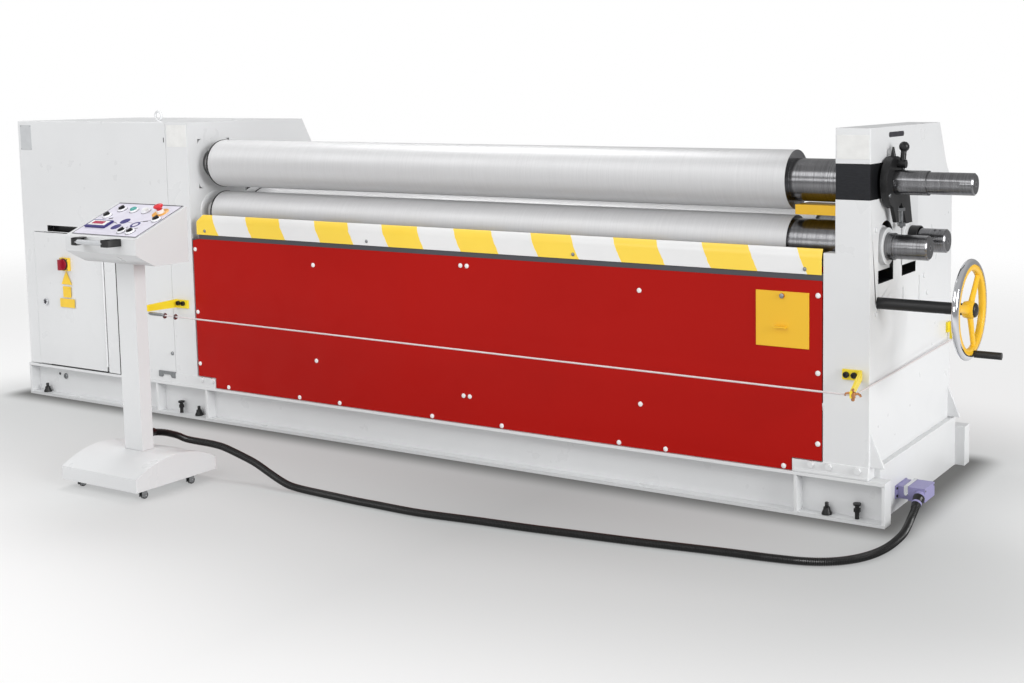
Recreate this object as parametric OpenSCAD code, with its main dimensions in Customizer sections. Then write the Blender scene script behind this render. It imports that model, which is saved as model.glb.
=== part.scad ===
// Plate rolling machine: three rolls between two side frames on a welded base,
// a drive housing with its cabinet, a handwheel, and a wheeled control console.
// Frame: X along the rolls, +Y to the rear, +Z up. The origin is the middle of the
// front base beam's underside, on the floor.

/* [Base] */
// Depth of the base, front flange to rear flange
base_d = 844; // [830:2:900]
// Height of the base beams
beam_h = 140; // [120:2:150]
// Width of a base beam
beam_w = 54; // [48:1:70]
// Thickness of the beams' web and flanges
beam_t = 11; // [8:1:14]
// Height of the base's end plates
end_plate_h = 175; // [150:1:200]
// Thickness of the base's end plates
end_plate_t = 20; // [10:1:22]
// How far the end plates sit inside the beam ends
end_inset = 35; // [25:1:45]

/* [Rolls] */
// Working length of the rolls
roll_l = 2550; // [2400:10:2700]
// Length of the top roll's right journal, from the roll to the right column
journal_l = 187; // [180:1:200]
// Diameter of the top roll
top_d = 190; // [160:1:192]
// Diameter of the front roll
front_d = 170; // [140:1:172]
// Diameter of the rear roll
rear_d = 170; // [140:1:180]
// Height of the top roll's axis
top_z = 1046; // [1044:1:1052]
// Height of the lower rolls' axes
low_z = 848; // [840:1:849]
// Distance of the front flange line to the top roll's axis
roll_y = 115; // [105:1:120]
// Distance from the front roll's axis to the rear roll's axis
rear_gap = 208; // [200:1:212]
// Diameter of the top roll's right journal
journal_d = 136; // [110:1:138]
// Diameter of the top roll's shaft in its bearing
shaft_d = 76; // [60:1:80]
// Diameter of the top roll's outer shaft
shaft_end_d = 68; // [50:1:70]
// Diameter of the lower rolls' left journals
low_journal_d = 100; // [90:1:104]
// Diameter of the lower rolls' right journals
low_right_d = 150; // [120:1:152]
// Diameter of the lower rolls' shafts outside the frame
low_shaft_d = 76; // [60:1:80]
// Reach of the top shaft past the right frame
top_reach = 280; // [240:5:300]
// Length of the top shaft's last step
top_step = 144; // [100:2:150]
// Reach of the front shaft past the right frame
front_reach = 141; // [120:1:160]
// Reach of the rear shaft past the right frame
rear_reach = 129; // [110:1:150]

/* [Frames] */
// Width of the left column
left_w = 125; // [120:1:128]
// Width of the right column, upper part
right_w = 113; // [108:1:120]
// How far the base runs out past the right column
end_gap = 55; // [52:1:80]
// How far the right column's lower part steps out to the left
right_step = 39; // [30:1:42]
// Height of that step
step_z = 834; // [820:1:840]
// Height of the frames and the housing above the top roll's axis
head_h = 169; // [159:1:194]
// Depth of the frames' flat top
top_depth = 640; // [620:1:660]
// Height at which the frames' rear chamfer ends
chamfer_z = 999; // [960:1:1020]
// Height at which the frames' rear chamfer bends
chamfer_mid_z = 1077; // [1060:1:1090]
// Depth of the frames
frame_d = 777; // [760:1:784]
// Height of the foot pads above the base
foot_h = 40; // [34:1:50]
// Set-back of the front faces from the beams' front
face_set = 6; // [4:1:10]
// Lower face of the right column's open mouth
mouth_z0 = 999; // [998:1:1002]
// Upper face of that mouth
mouth_z1 = 1107; // [1104:1:1110]
// Depth of the mouth
mouth_d = 262; // [256:1:290]
// Width of the left column's window
window_w = 168; // [164:1:172]
// Height of that window
window_h = 200; // [196:1:206]
// Width of the slots in which the lower bearings slide
slot_w = 130; // [126:1:134]
// How far the front roll's bearings can rise in their slots
front_up = 14; // [14:1:18]
// How far the rear roll's bearings can rise in their slots
rear_up = 101; // [101:1:104]
// Height of the slots' lower end
slot_z = 738; // [734:1:742]

/* [Housing and panels] */
// Length of the drive housing
housing_l = 937; // [930:1:980]
// Distance from the housing's left face to the cabinet door
door_in = 72; // [50:1:90]
// Width of the cabinet door
door_w = 439; // [400:1:445]
// Height of the cabinet door
door_h = 584; // [556:1:586]
// Thickness of the cabinet door
door_t = 20; // [16:1:24]
// Depth of the cabinet behind its door
cabinet_d = 180; // [120:5:220]
// Thickness of the front and rear panels
panel_t = 4; // [3:1:5]
// Height of the front panel's top edge
panel_top = 747; // [740:1:749]
// Height of the yellow cover
cover_h = 176; // [150:1:180]
// Width of the yellow cover
cover_w = 182; // [150:1:186]
// Height of the striped guard's folded sheet
guard_h = 76; // [70:1:80]

/* [Handwheel] */
// Diameter of the handwheel
wheel_d = 302; // [260:1:310]
// Thickness of the handwheel's rim
rim_t = 22; // [16:1:24]
// Diameter of the handwheel's shaft
wheel_shaft_d = 36; // [30:1:40]
// Height of the handwheel's axis
wheel_z = 680; // [676:1:690]
// Distance of the handwheel's axis behind the front flange line
wheel_y = 50; // [46:1:60]
// Reach of the handwheel's shaft past the right frame
wheel_reach = 285; // [260:1:300]
// Length of the crank grip
grip_l = 76; // [60:1:90]

/* [Console] */
// Middle of the console, along the rolls
con_x = -422; // [-440:1:-405]
// Front of the console's foot, in front of the front flange line
con_front = 915; // [900:1:930]
// Width of the console's foot
foot_w = 374; // [360:1:390]
// Depth of the console's foot
foot_d = 334; // [320:1:350]
// Height of the foot's sides
foot_side = 46; // [40:1:50]
// Rise of the foot's arched top
foot_rise = 48; // [40:1:52]
// Height of the foot's underside above the floor
foot_z = 29; // [28:1:32]
// Width of the console's post
post_w = 88; // [80:1:96]
// Depth of the console's post
post_d = 46; // [40:1:54]
// Width of the console's head
head_w = 347; // [335:1:360]
// Slope of the control panel, in degrees
head_tilt = 23.4; // [18:0.1:26]
// Height of the control panel's front edge
head_z = 863; // [850:1:880]

/* [Hidden] */
$fn = 96;
hair = 0.3;                       // seat gap between pieces of different bodies
run_fit = 0.05;                   // radial clearance of a shaft in its bearing
seam = 2;                         // gap between the drive housing and the left frame
housing_in = 6;                   // set-back of the housing from the base's left end
left_neck = 65;                   // from the left frame to the left end of the rolls
base_l = housing_in + housing_l + seam + left_w + left_neck + roll_l + journal_l + right_w + end_gap;
base_x = base_l / 2;
housing_x = housing_in - base_x;
left_x = housing_x + housing_l + seam;
door_x = housing_x + door_in;
front_y = -beam_w / 2;            // front of the base's flanges
rear_y = front_y + base_d;        // rear of the base's flanges
face_y = front_y + face_set;      // front faces of the frames, housing and panels
foot_top = beam_h + foot_h;
frame_h = top_z + head_h;
chamfer_in = 64;                  // depth of the frames' lower rear chamfer
step_d = 230;                     // depth of the right column's stepped lower part
end_x = base_x - end_inset;       // outer face of the base's end plates

roll_x0 = left_x + left_w + left_neck;
roll_x1 = roll_x0 + roll_l;
right_x = roll_x1 + journal_l;
rear_roll_y = roll_y + rear_gap;
right_face = right_x + right_w;   // outer face of the right frame
left_face = left_x + left_w;      // inner face of the left frame
low_left = right_x - right_step;

// top roll's left bearing: a drum that lets the roll swing forward
drum_r = 48;
drum_x = left_x + 62;
stub_d = 60;
left_journal_d = 90;
trunnion_d = 30;
trunnion_l = 12;
plate_t = 12;
plate_r = 26;
plate_bore_r = 60;

block_h = mouth_z1 - mouth_z0 - 1;
block_d = 226;
wear_z = 942;                     // underside of the block below the top roll's journal
wear_h = 31;
wear_in = 24;                     // from the top roll's end to that block
disc_r = 80;
disc_t = 24;
disc_gap = 8;
disc_x = right_face + disc_gap;
leg_x = disc_x + disc_t / 2;      // the disc's two legs are half as thick as it
lever_y = roll_y + 12;
lever_z = top_z + 56;

slide_low = 75;                   // from a lower bearing block's axis to its underside
slide_w = slot_w - 1;
slide_in = 12;                    // set-back of the right blocks' faces in the frame
boss_r = 58;
boss_l = 8;
low_left_end = left_x + 12;       // left end of the lower rolls' journals
low_down = 21;                    // how far the front roll can sink
pocket = 6;                       // clearance round its right journal

guard_y = face_y;
rail_h = 22;
guard_z = panel_top + rail_h;
guard_t = 4;
guard_bend = 44;
guard_back = 12;
guard_x0 = left_face + 36;
guard_cut = 27;                   // corner cut off at the guard's upper left
rail_x0 = guard_x0 + 8;
guard_x1 = low_left - 4;

door_z = beam_h + 6;
door_y = face_y - 1;
hinge_r = 4;
hinge_x = door_x + door_w + 5;    // door's hinge axis, level with its front
hinge_in = 20;                    // from the door's top and bottom to the hinge's ends
gap_x = door_x + door_w + 84;
gap_w = 25;
vent_z = door_z + door_h + 8;
vent_h = 24;
switch_x = door_x + 208;
switch_z = 598;
switch_a = 56;
switch_t = 14;
knob_r = 23;

pad_out = 25;                     // reach of the left foot pad under the housing
notch_left = left_face + 104;
notch_right = low_left - 102;
panel_x0 = left_face + 8;
panel_x1 = low_left - 3;
panel_z0 = beam_h + 2;
cover_x = panel_x1 - 42 - cover_w;
cover_z = 531;
cover_t = 3;
cover_screw = [cover_x + cover_w / 2, cover_z + cover_h - 14];
screw_r = 4;

rope_y = -160;
rope_z = 436;                     // rope's height at its front right corner
rope_left_z = 452;
rope_r = 3;
left_arm_x = left_face - 108;
right_arm_x = right_face - 23;
right_arm_a = 10.5;               // how far the right arm turns outwards, in degrees
rear_arm_y = frame_d + front_y - 26;
rear_eye_z = 462;
arm_t = 8;

wheel_x = right_face + wheel_reach;
rim_r = wheel_d / 2 - rim_t / 2;
crank_a = 262;                    // crank's angle round the wheel, in degrees
crank_r = rim_r - 4;
crank_pos = [wheel_y - crank_r * cos(crank_a), wheel_z + crank_r * sin(crank_a)];
grip_gap = 8;

con_y0 = -con_front;
con_y1 = con_y0 + foot_d;
post_x = con_x + 8;
post_y = (con_y0 + con_y1) / 2 - 4;
arch_top = foot_z + foot_side + foot_rise;
arch_r = (foot_d * foot_d / 4 + foot_rise * foot_rise) / (2 * foot_rise);
head_x0 = con_x - head_w / 2 + 16;
head_y0 = -875;
head_d = 214;
head_low = 768;
head_lip = 811;
head_knee = [40, 787];            // bend of the underside: back from the front, height
head_cut = 75;
sheet_t = 2;
sheet_m = 14;                     // sheet's margins on the head: front, left, right, back
sheet_left = 22;
sheet_right = 13;
sheet_back = 5;
post_in = 3;                      // depth of the post's seat in the foot

wheel_small_r = 12;
caster_front = con_y0 + 34;
caster_rear = con_y1 - 105;
caster_left = con_x - foot_w / 2 + 50;
caster_right = con_x + foot_w / 2 - 16;
caster_off = 8;
caster_pos = [
    [caster_left, caster_front], [caster_right, caster_front],
    [caster_left, caster_rear], [caster_right, caster_rear]
];

plug_y = 205;
plug_z = 62;
gland_r = 16;
gland_l = 44;
gland_a = 31;                     // gland's slope below level, in degrees
cord_d = 25;
cord_sides = 8;
cord_start = [post_x, post_y + post_d / 2 + 22, 165];
cord_route = [
    [-414, -707, 165], [-411.8, -681.3, 161.8], [-404.8, -659, 156.6], [-395.1, -641.8, 150.7],
    [-374.8, -620.5, 140], [-350, -607, 128], [-315, -593, 121], [-278, -582, 117],
    [-240, -573, 112], [-203, -567, 105], [-133, -565, 88], [-62, -565, 69], [9, -575, 49],
    [74, -584, 31], [125, -588, 20], [185, -585, 14], [304, -590, 13], [417, -596, 13],
    [523, -597, 13], [630, -599, 13], [726, -594, 13], [906, -573, 13], [1082, -556, 13],
    [1249, -534, 13], [1411, -513, 13], [1566, -489, 13], [1717, -466, 13], [1830, -452, 13],
    [1930, -432, 13], [2000, -399, 13], [2052, -346, 13], [2084, -280, 13], [2099, -200, 13],
    [2099, -100, 13], [2090, -30, 14], [2077, 40, 18], [2072, 76, 24.5], [2068, 109, 33.5],
    [2066, 126, 42]
];

// ---------- shared shapes ----------

// a box given by its low corner and its high corner
module span(low, high) {
    translate(low) cube(high - low);
}

// a cylinder along +X from x0 to x1
module rod_x(x0, x1, y, z, r) {
    translate([x0, y, z]) rotate([0, 90, 0]) cylinder(h = x1 - x0, r = r);
}

// a round bar between two points
module bar(a, b, r) {
    d = b - a;
    len = norm(d);
    translate(a)
        rotate([0, acos(d[2] / len), atan2(d[1], d[0])])
            cylinder(h = len, r = r, $fn = 24);
}

// an outline drawn in Y and Z, extruded along +X from x0 to x1
module slab_x(x0, x1, outline) {
    translate([x0, 0, 0])
        rotate([90, 0, 90])
            linear_extrude(x1 - x0) polygon(outline);
}

// ---------- base ----------

module beam(outer_y, side) {
    web_y = outer_y + side * (beam_w - beam_t / 2);
    mid_y = outer_y + side * beam_w / 2;
    module plate(x0, x1, y0, y1, z0, z1) {
        span([x0, min(y0, y1), z0], [x1, max(y0, y1), z1]);
    }
    color([0.86, 0.87, 0.88]) union() {
        plate(-base_x, base_x, outer_y, outer_y + side * beam_w, 0, beam_t);
        plate(-base_x, base_x, outer_y, outer_y + side * beam_w, beam_h - beam_t, beam_h);
        plate(-base_x, base_x, web_y - beam_t / 2, web_y + beam_t / 2, 0, beam_h);
        for (x = [-base_x, left_x - 123, left_face + 45, notch_right + 6, base_x - beam_t])
            plate(x, x + beam_t, outer_y + side * 1, outer_y + side * beam_w, 0, beam_h);
    }
}

module base_front_beam() {
    beam(front_y, 1);
}

module base_rear_beam() {
    beam(rear_y, -1);
}

module base_end(side) {
    x0 = side > 0 ? end_x - end_plate_t : -end_x;
    top = side > 0 ? end_plate_h : beam_h;
    color([0.86, 0.87, 0.88])
        span([x0, front_y + beam_w, 0], [x0 + end_plate_t, rear_y - beam_w, top]);
}

module base_left_plate() {
    base_end(-1);
}

module base_right_plate() {
    base_end(1);
}

// ---------- frames ----------

function frame_outline(z0) = [
    [face_y, z0], [face_y, frame_h], [face_y + top_depth, frame_h],
    [face_y + frame_d - chamfer_in, chamfer_mid_z], [face_y + frame_d, chamfer_z],
    [face_y + frame_d, z0]
];

// the round-topped slots in which the lower rolls' bearing blocks slide
module bearing_slots(x0, x1) {
    for (s = [[roll_y, front_up], [rear_roll_y, rear_up]]) {
        span([x0 - 1, s[0] - slot_w / 2, slot_z], [x1 + 1, s[0] + slot_w / 2, low_z + s[1]]);
        rod_x(x0 - 1, x1 + 1, s[0], low_z + s[1], slot_w / 2);
    }
}

module left_frame() {
    win_y = roll_y - window_w / 2;
    win_z = top_z - window_h / 2;
    color([0.87, 0.88, 0.89]) difference() {
        union() {
            slab_x(left_x, left_face, frame_outline(foot_top));
            span([left_x - pad_out, face_y - 3, beam_h], [notch_left, face_y + frame_d, foot_top]);
        }
        span([left_x - 1, win_y, win_z], [left_face + 1, win_y + window_w, win_z + window_h]);
        bearing_slots(left_x + 6, left_face);
        translate([drum_x, roll_y, win_z - trunnion_l])
            cylinder(h = window_h + 2 * trunnion_l, d = trunnion_d);
    }
}

module right_frame() {
    gusset_h = 110;
    color([0.87, 0.88, 0.89]) difference() {
        union() {
            slab_x(right_x, right_face, frame_outline(foot_top));
            span([low_left, face_y, foot_top], [right_x, face_y + step_d, step_z]);
            span([notch_right, face_y - 3, beam_h],
                 [end_x - end_plate_t, face_y + frame_d, foot_top]);
            span([notch_right + 6, front_y, beam_h], [end_x - end_plate_t, face_y, beam_h + beam_t]);
            for (y = [face_y + 22, face_y + frame_d - 14])
                translate([right_face, y, foot_top])
                    rotate([90, 0, 0])
                        linear_extrude(12)
                            polygon([[0, 0], [base_x - right_face - 8, 0], [0, gusset_h]]);
        }
        span([right_x - 1, face_y - 5, mouth_z0], [right_face + 1, face_y + mouth_d, mouth_z1]);
        bearing_slots(low_left, right_face);
        span([low_left - 1, roll_y - low_right_d / 2 - pocket, low_z - low_right_d / 2 - low_down - pocket],
             [right_x, roll_y + low_right_d / 2 + pocket, step_z + 1]);
        rod_x(low_left - 1, right_face + 1, wheel_y, wheel_z, wheel_shaft_d / 2 + run_fit);
    }
}

// ---------- drive housing and cabinet ----------

module drive_housing() {
    wall = 2;
    color([0.87, 0.88, 0.89]) difference() {
        slab_x(housing_x, housing_x + housing_l, frame_outline(beam_h));
        span([door_x - wall, face_y - 5, door_z - wall],
             [hinge_x + hinge_r + 1, door_y + door_t + hair, door_z + door_h + wall]);
        span([door_x + 22, face_y - 5, door_z + 22],
             [door_x + door_w - 22, face_y + cabinet_d, door_z + door_h - 22]);
        span([gap_x, face_y - 5, beam_h - 1], [gap_x + gap_w, face_y + 30, vent_z + vent_h]);
        span([door_x + 94, face_y - 5, vent_z], [gap_x + 1, face_y + 30, vent_z + vent_h]);
        span([left_x - pad_out, face_y - 5, beam_h - 1], [left_x, face_y + frame_d + 1, foot_top]);
    }
}

module lifting_eye() {
    ring_r = 18;
    wire_r = 5;
    color([0.87, 0.88, 0.89])
        translate([left_x - 178, face_y + 120, frame_h])
            union() {
                translate([0, 0, ring_r + wire_r])
                    rotate([90, 0, 0])
                        rotate_extrude() translate([ring_r, 0]) circle(r = wire_r, $fn = 32);
                cylinder(h = wire_r + 1, r = 9);
            }
}

module cabinet_door() {
    color([0.88, 0.89, 0.90]) union() {
        span([door_x, door_y, door_z], [door_x + door_w, door_y + door_t, door_z + door_h]);
        span([door_x + door_w - 1, door_y, door_z + hinge_in],
             [hinge_x, door_y + 3, door_z + door_h - hinge_in]);
        translate([hinge_x, door_y, door_z + hinge_in])
            cylinder(h = door_h - 2 * hinge_in, r = hinge_r);
    }
}

module main_switch() {
    color([0.96, 0.80, 0.20])
        span([switch_x - switch_a / 2, door_y - switch_t, switch_z - switch_a / 2],
             [switch_x + switch_a / 2, door_y, switch_z + switch_a / 2]);
}

module switch_knob() {
    color([0.75, 0.10, 0.12])
        translate([switch_x, door_y - switch_t - hair, switch_z])
            rotate([90, 0, 0])
                union() {
                    cylinder(h = 10, r = knob_r);
                    translate([-6, -knob_r, 0]) cube([12, 2 * knob_r, 26]);
                }
}

// ---------- top roll's bearings ----------

module bearing_plate() {
    w = window_w;
    h = window_h;
    color([0.93, 0.93, 0.93])
        translate([left_face - plate_t, roll_y, top_z])
            rotate([90, 0, 90])
                linear_extrude(plate_t)
                    difference() {
                        union() {
                            square([w, h - 2 * plate_r], center = true);
                            square([w - 2 * plate_r, h], center = true);
                            for (a = [-1, 1], b = [-1, 1])
                                translate([a * (w / 2 - plate_r), b * (h / 2 - plate_r)])
                                    circle(r = plate_r);
                        }
                        circle(r = plate_bore_r);
                    }
}

module swing_drum() {
    drum_h = window_h - 2;
    color([0.35, 0.36, 0.38]) difference() {
        union() {
            translate([drum_x, roll_y, top_z - drum_h / 2]) cylinder(h = drum_h, r = drum_r);
            translate([drum_x, roll_y, top_z - drum_h / 2 - trunnion_l + 2])
                cylinder(h = drum_h + 2 * trunnion_l - 4, d = trunnion_d - 2 * run_fit);
        }
        rod_x(drum_x - drum_r - 1, drum_x + drum_r + 1, roll_y, top_z, stub_d / 2 + run_fit);
    }
}

module drop_block() {
    x0 = right_x + 1;
    x1 = right_face - 1;
    color([0.25, 0.26, 0.28]) difference() {
        union() {
            span([x0, face_y, mouth_z0 + 0.5], [x1, face_y + block_d, mouth_z0 + 0.5 + block_h]);
            rod_x(x1 - 1, disc_x, roll_y, top_z, shaft_d / 2 + 7);
        }
        rod_x(x0 - 1, disc_x + 1, roll_y, top_z, shaft_d / 2 + run_fit);
    }
}

module wear_block() {
    color([0.95, 0.76, 0.15])
        span([roll_x1 + wear_in, roll_y - 68, wear_z], [right_x, roll_y + 40, wear_z + wear_h]);
}

module clamp_plate() {
    ear_z = top_z - 124;
    toe_z = top_z - 135;
    pin_r = 9;
    x1 = disc_x + disc_t;
    color([0.10, 0.10, 0.11]) difference() {
        union() {
            rod_x(disc_x, x1, roll_y, top_z, disc_r);
            translate([leg_x, roll_y + 2, top_z + disc_r - 4])
                cylinder(h = 32, r1 = pin_r, r2 = pin_r / 3, $fn = 32);
            slab_x(leg_x, x1, [[roll_y - 34, top_z - 60], [roll_y + 2, ear_z],
                               [roll_y + 24, ear_z], [roll_y + 10, top_z - 60]]);
            slab_x(leg_x, x1, [[roll_y + 40, top_z - 56], [roll_y + 92, toe_z],
                               [roll_y + 145, toe_z], [roll_y + 118, top_z - 40],
                               [roll_y + 60, top_z - 30]]);
        }
        rod_x(disc_x - 1, x1 + 1, roll_y, top_z, shaft_d / 2 + run_fit);
    }
}

module clamp_lever() {
    x0 = disc_x + disc_t + hair;
    tip = [x0 + 16, lever_y + 8, lever_z + 52];
    color([0.10, 0.10, 0.11]) union() {
        rod_x(x0, x0 + 26, lever_y, lever_z, 13);
        bar([x0 + 14, lever_y, lever_z], tip, 9);
        translate(tip) sphere(r = 16, $fn = 32);
    }
}

// ---------- rolls ----------

module shaft_step(x0, x1, y, z, d) {
    rod_x(x0, x1, y, z, d / 2);
}

module shaft_tip(x1, y, z, d) {
    chamfer = 5;
    translate([x1 - chamfer, y, z])
        rotate([0, 90, 0]) cylinder(h = chamfer, r1 = d / 2, r2 = d / 2 - chamfer);
}

module top_roll() {
    x2 = right_x - 6;
    x3 = right_face + top_reach - top_step;
    x4 = right_face + top_reach;
    key_w = 18;
    color([0.72, 0.73, 0.75]) difference() {
        union() {
            shaft_step(drum_x - drum_r, drum_x + drum_r + 2, roll_y, top_z, stub_d);
            shaft_step(drum_x + drum_r + 1, roll_x0, roll_y, top_z, left_journal_d);
            shaft_step(roll_x0, roll_x1, roll_y, top_z, top_d);
            shaft_step(roll_x1, x2, roll_y, top_z, journal_d);
            shaft_step(x2, x3, roll_y, top_z, shaft_d);
            shaft_step(x3, x4 - 5, roll_y, top_z, shaft_end_d);
            shaft_tip(x4, roll_y, top_z, shaft_end_d);
        }
        span([disc_x + disc_t + 4, roll_y - shaft_d / 2 - 1, top_z - key_w / 2],
             [x4 - 40, roll_y - shaft_end_d / 2 + 7, top_z + key_w / 2]);
    }
}

module low_roll(y, d, reach) {
    x1 = right_face + reach;
    x2 = right_x - 6;
    color([0.72, 0.73, 0.75]) union() {
        shaft_step(low_left_end, roll_x0, y, low_z, low_journal_d);
        shaft_step(roll_x0, roll_x1, y, low_z, d);
        shaft_step(roll_x1, x2, y, low_z, low_right_d);
        shaft_step(x2, right_face + boss_l + 22, y, low_z, low_shaft_d + 8);
        shaft_step(right_face + boss_l + 22, x1 - 5, y, low_z, low_shaft_d);
        shaft_tip(x1, y, low_z, low_shaft_d);
    }
}

module front_roll() {
    low_roll(roll_y, front_d, front_reach);
}

module rear_roll() {
    low_roll(rear_roll_y, rear_d, rear_reach);
}

// a sliding bearing block, flat below and round above
module slide_block(x0, x1, y) {
    span([x0, y - slide_w / 2, low_z - slide_low], [x1, y + slide_w / 2, low_z]);
    rod_x(x0, x1, y, low_z, slide_w / 2);
}

module low_block_right(y) {
    x0 = right_x + 2;
    color([0.85, 0.86, 0.87]) difference() {
        union() {
            slide_block(x0, right_face - slide_in, y);
            rod_x(right_face - slide_in - 1, right_face + boss_l, y, low_z, boss_r);
            children();
        }
        rod_x(x0 - 1, right_face + boss_l + 1, y, low_z, low_shaft_d / 2 + 4 + run_fit);
    }
}

module low_block_left(y) {
    x0 = left_x + 10;
    x1 = left_face - 2;
    color([0.85, 0.86, 0.87]) difference() {
        slide_block(x0, x1, y);
        rod_x(x0 - 1, x1 + 1, y, low_z, low_journal_d / 2 + run_fit);
    }
}

module front_block_left() {
    low_block_left(roll_y);
}

module front_block_right() {
    low_block_right(roll_y);
}

module rear_block_left() {
    low_block_left(rear_roll_y);
}

module rear_block_right() {
    shield_top = low_z + rear_up + slot_w / 2 + 12;
    low_block_right(rear_roll_y)
        span([right_face + 0.5, rear_roll_y - slot_w / 2 - 8, low_z - slide_low],
             [right_face + 3, rear_roll_y + slot_w / 2 + 8, shield_top]);
}

// ---------- panels and guard ----------

module front_panel() {
    notch_z = foot_top + 3;
    color([0.68, 0.11, 0.08]) union() {
        translate([0, face_y + panel_t, 0])
            rotate([90, 0, 0])
                linear_extrude(panel_t)
                    polygon([
                        [panel_x0, notch_z], [notch_left + 3, notch_z], [notch_left + 3, panel_z0],
                        [notch_right - 3, panel_z0], [notch_right - 3, notch_z],
                        [panel_x1, notch_z], [panel_x1, panel_top], [rail_x0, panel_top],
                        [panel_x0, panel_top - 7]
                    ]);
        translate([cover_screw[0], face_y + 1, cover_screw[1]])
            rotate([90, 0, 0])
                union() {
                    cylinder(h = cover_t + 2 * hair + 2, r = screw_r);
                    translate([0, 0, cover_t + 2 * hair + 1]) cylinder(h = 4, r = 2 * screw_r);
                }
    }
}

module rear_panel() {
    y1 = face_y + frame_d - 40;
    color([0.68, 0.11, 0.08])
        span([left_face, y1 - panel_t, beam_h + foot_h], [right_x, y1, panel_top]);
}

module access_cover() {
    pull_y = face_y - cover_t;
    color([0.95, 0.76, 0.15]) difference() {
        union() {
            span([cover_x, pull_y - hair, cover_z],
                 [cover_x + cover_w, face_y - hair, cover_z + cover_h]);
            span([cover_x + 66, pull_y - 18, cover_z + 62], [cover_x + 108, pull_y, cover_z + 66]);
        }
        translate([cover_screw[0], face_y + 1, cover_screw[1]])
            rotate([90, 0, 0]) cylinder(h = cover_t + 2, r = screw_r + run_fit);
    }
}

module stripe_guard() {
    y0 = guard_y - guard_t;
    z1 = guard_z + guard_bend;
    z2 = guard_z + guard_h;
    color([0.93, 0.93, 0.93])
        difference() {
            slab_x(guard_x0, guard_x1, [
                [y0, guard_z - 4], [y0, z1], [y0 + guard_back, z2],
                [y0 + guard_back + guard_t, z2], [y0 + guard_t, z1], [y0 + guard_t, guard_z - 4]
            ]);
            translate([guard_x0, y0 + 30, z2])
                rotate([90, 0, 0])
                    linear_extrude(40)
                        polygon([[-1, -guard_cut], [0, -guard_cut], [guard_cut, 0], [guard_cut, 1], [-1, 1]]);
        }
}

module guard_rail() {
    color([0.32, 0.32, 0.34])
        union() {
            span([rail_x0, guard_y, panel_top], [low_left, guard_y + 30, guard_z]);
            span([left_face, guard_y + panel_t, panel_top - 30],
                 [low_left, guard_y + 12, panel_top]);
        }
}

// ---------- handwheel ----------

module wheel_shaft() {
    color([0.08, 0.08, 0.09])
        rod_x(low_left + 4, wheel_x - 16, wheel_y, wheel_z, wheel_shaft_d / 2);
}

module handwheel() {
    hub_r = 30;
    color([0.95, 0.76, 0.15])
        translate([wheel_x, wheel_y, wheel_z])
            rotate([0, 90, 0])
                union() {
                    rotate_extrude() translate([rim_r, 0]) circle(d = rim_t, $fn = 32);
                    translate([0, 0, -16]) cylinder(h = 32, r = hub_r);
                    for (a = [20, 140, 260])
                        rotate([0, 90, a])
                            translate([0, 0, hub_r - 4])
                                cylinder(h = rim_r - hub_r + 4, r = 9, $fn = 24);
                }
}

module crank_grip() {
    x0 = wheel_x + rim_t / 2 - 2;
    color([0.06, 0.06, 0.07])
        translate([0, crank_pos[0], crank_pos[1]])
            rod_x(x0 + 2 + hair, x0 + grip_gap + grip_l, 0, 0, 11);
}

// ---------- safety rope ----------

module left_bracket() {
    z = 458;
    color([0.95, 0.76, 0.15]) union() {
        span([left_arm_x, face_y - arm_t, z], [left_arm_x + 76, face_y, z + 34]);
        slab_x(left_arm_x, left_arm_x + arm_t, [
            [face_y, z], [face_y, z + 34], [rope_y - 8, z + 30], [rope_y - 8, z + 4]
        ]);
    }
}

function right_arm_end(reach) =
    [right_arm_x + reach * sin(right_arm_a), face_y - reach * cos(right_arm_a), rope_z];

right_reach = (face_y - rope_y) / cos(right_arm_a);

module right_bracket() {
    z = 450;
    color([0.95, 0.76, 0.15]) union() {
        span([right_arm_x - 62, face_y - arm_t, z], [right_arm_x, face_y, z + 32]);
        translate([right_arm_x, face_y, 0])
            rotate([0, 0, right_arm_a])
                slab_x(-arm_t, 0, [
                    [-2, z], [-2, z + 32], [-right_reach - 8, rope_z + 12],
                    [-right_reach - 8, rope_z - 8], [-right_reach + 8, rope_z - 8]
                ]);
    }
}

module rear_bracket() {
    z = 500;
    color([0.95, 0.76, 0.15]) union() {
        span([right_face, rear_arm_y - 20, z - 18], [right_face + arm_t, rear_arm_y + 20, z + 18]);
        span([right_face + arm_t, rear_arm_y - 4, rear_eye_z - 4],
             [right_face + 30, rear_arm_y + 4, z + 18]);
    }
}

module safety_rope() {
    left_end = [left_arm_x + arm_t / 2, rope_y, rope_left_z];
    corner = right_arm_end(right_reach) + [rope_r + 1, 0, 0];
    rear_end = [right_face + 26, rear_arm_y - 4, rear_eye_z];
    color([0.80, 0.80, 0.80]) difference() {
        union() {
            bar(left_end, left_end + [0, 0, 10], rope_r);
            bar(left_end, corner, rope_r);
            translate(corner) sphere(r = rope_r + 3, $fn = 24);
            bar(corner, rear_end, rope_r);
        }
        left_bracket();
        right_bracket();
        rear_bracket();
    }
}

// ---------- console ----------

module console_foot() {
    side_z = foot_z + foot_side;
    arc_z = arch_top - arch_r;
    mid_y = (con_y0 + con_y1) / 2;
    half_a = asin(foot_d / 2 / arch_r);
    steps = 12;
    arch = [for (i = [0:steps]) let (a = 90 + half_a - 2 * half_a * i / steps)
            [mid_y + arch_r * cos(a), arc_z + arch_r * sin(a)]];
    color([0.87, 0.88, 0.89])
        difference() {
            slab_x(con_x - foot_w / 2, con_x + foot_w / 2,
                   concat([[con_y0, foot_z]], arch, [[con_y1, foot_z]]));
            span([post_x - post_w / 2, post_y - post_d / 2, arch_top - post_in],
                 [post_x + post_w / 2, post_y + post_d / 2, arch_top + 1]);
        }
}

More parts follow.
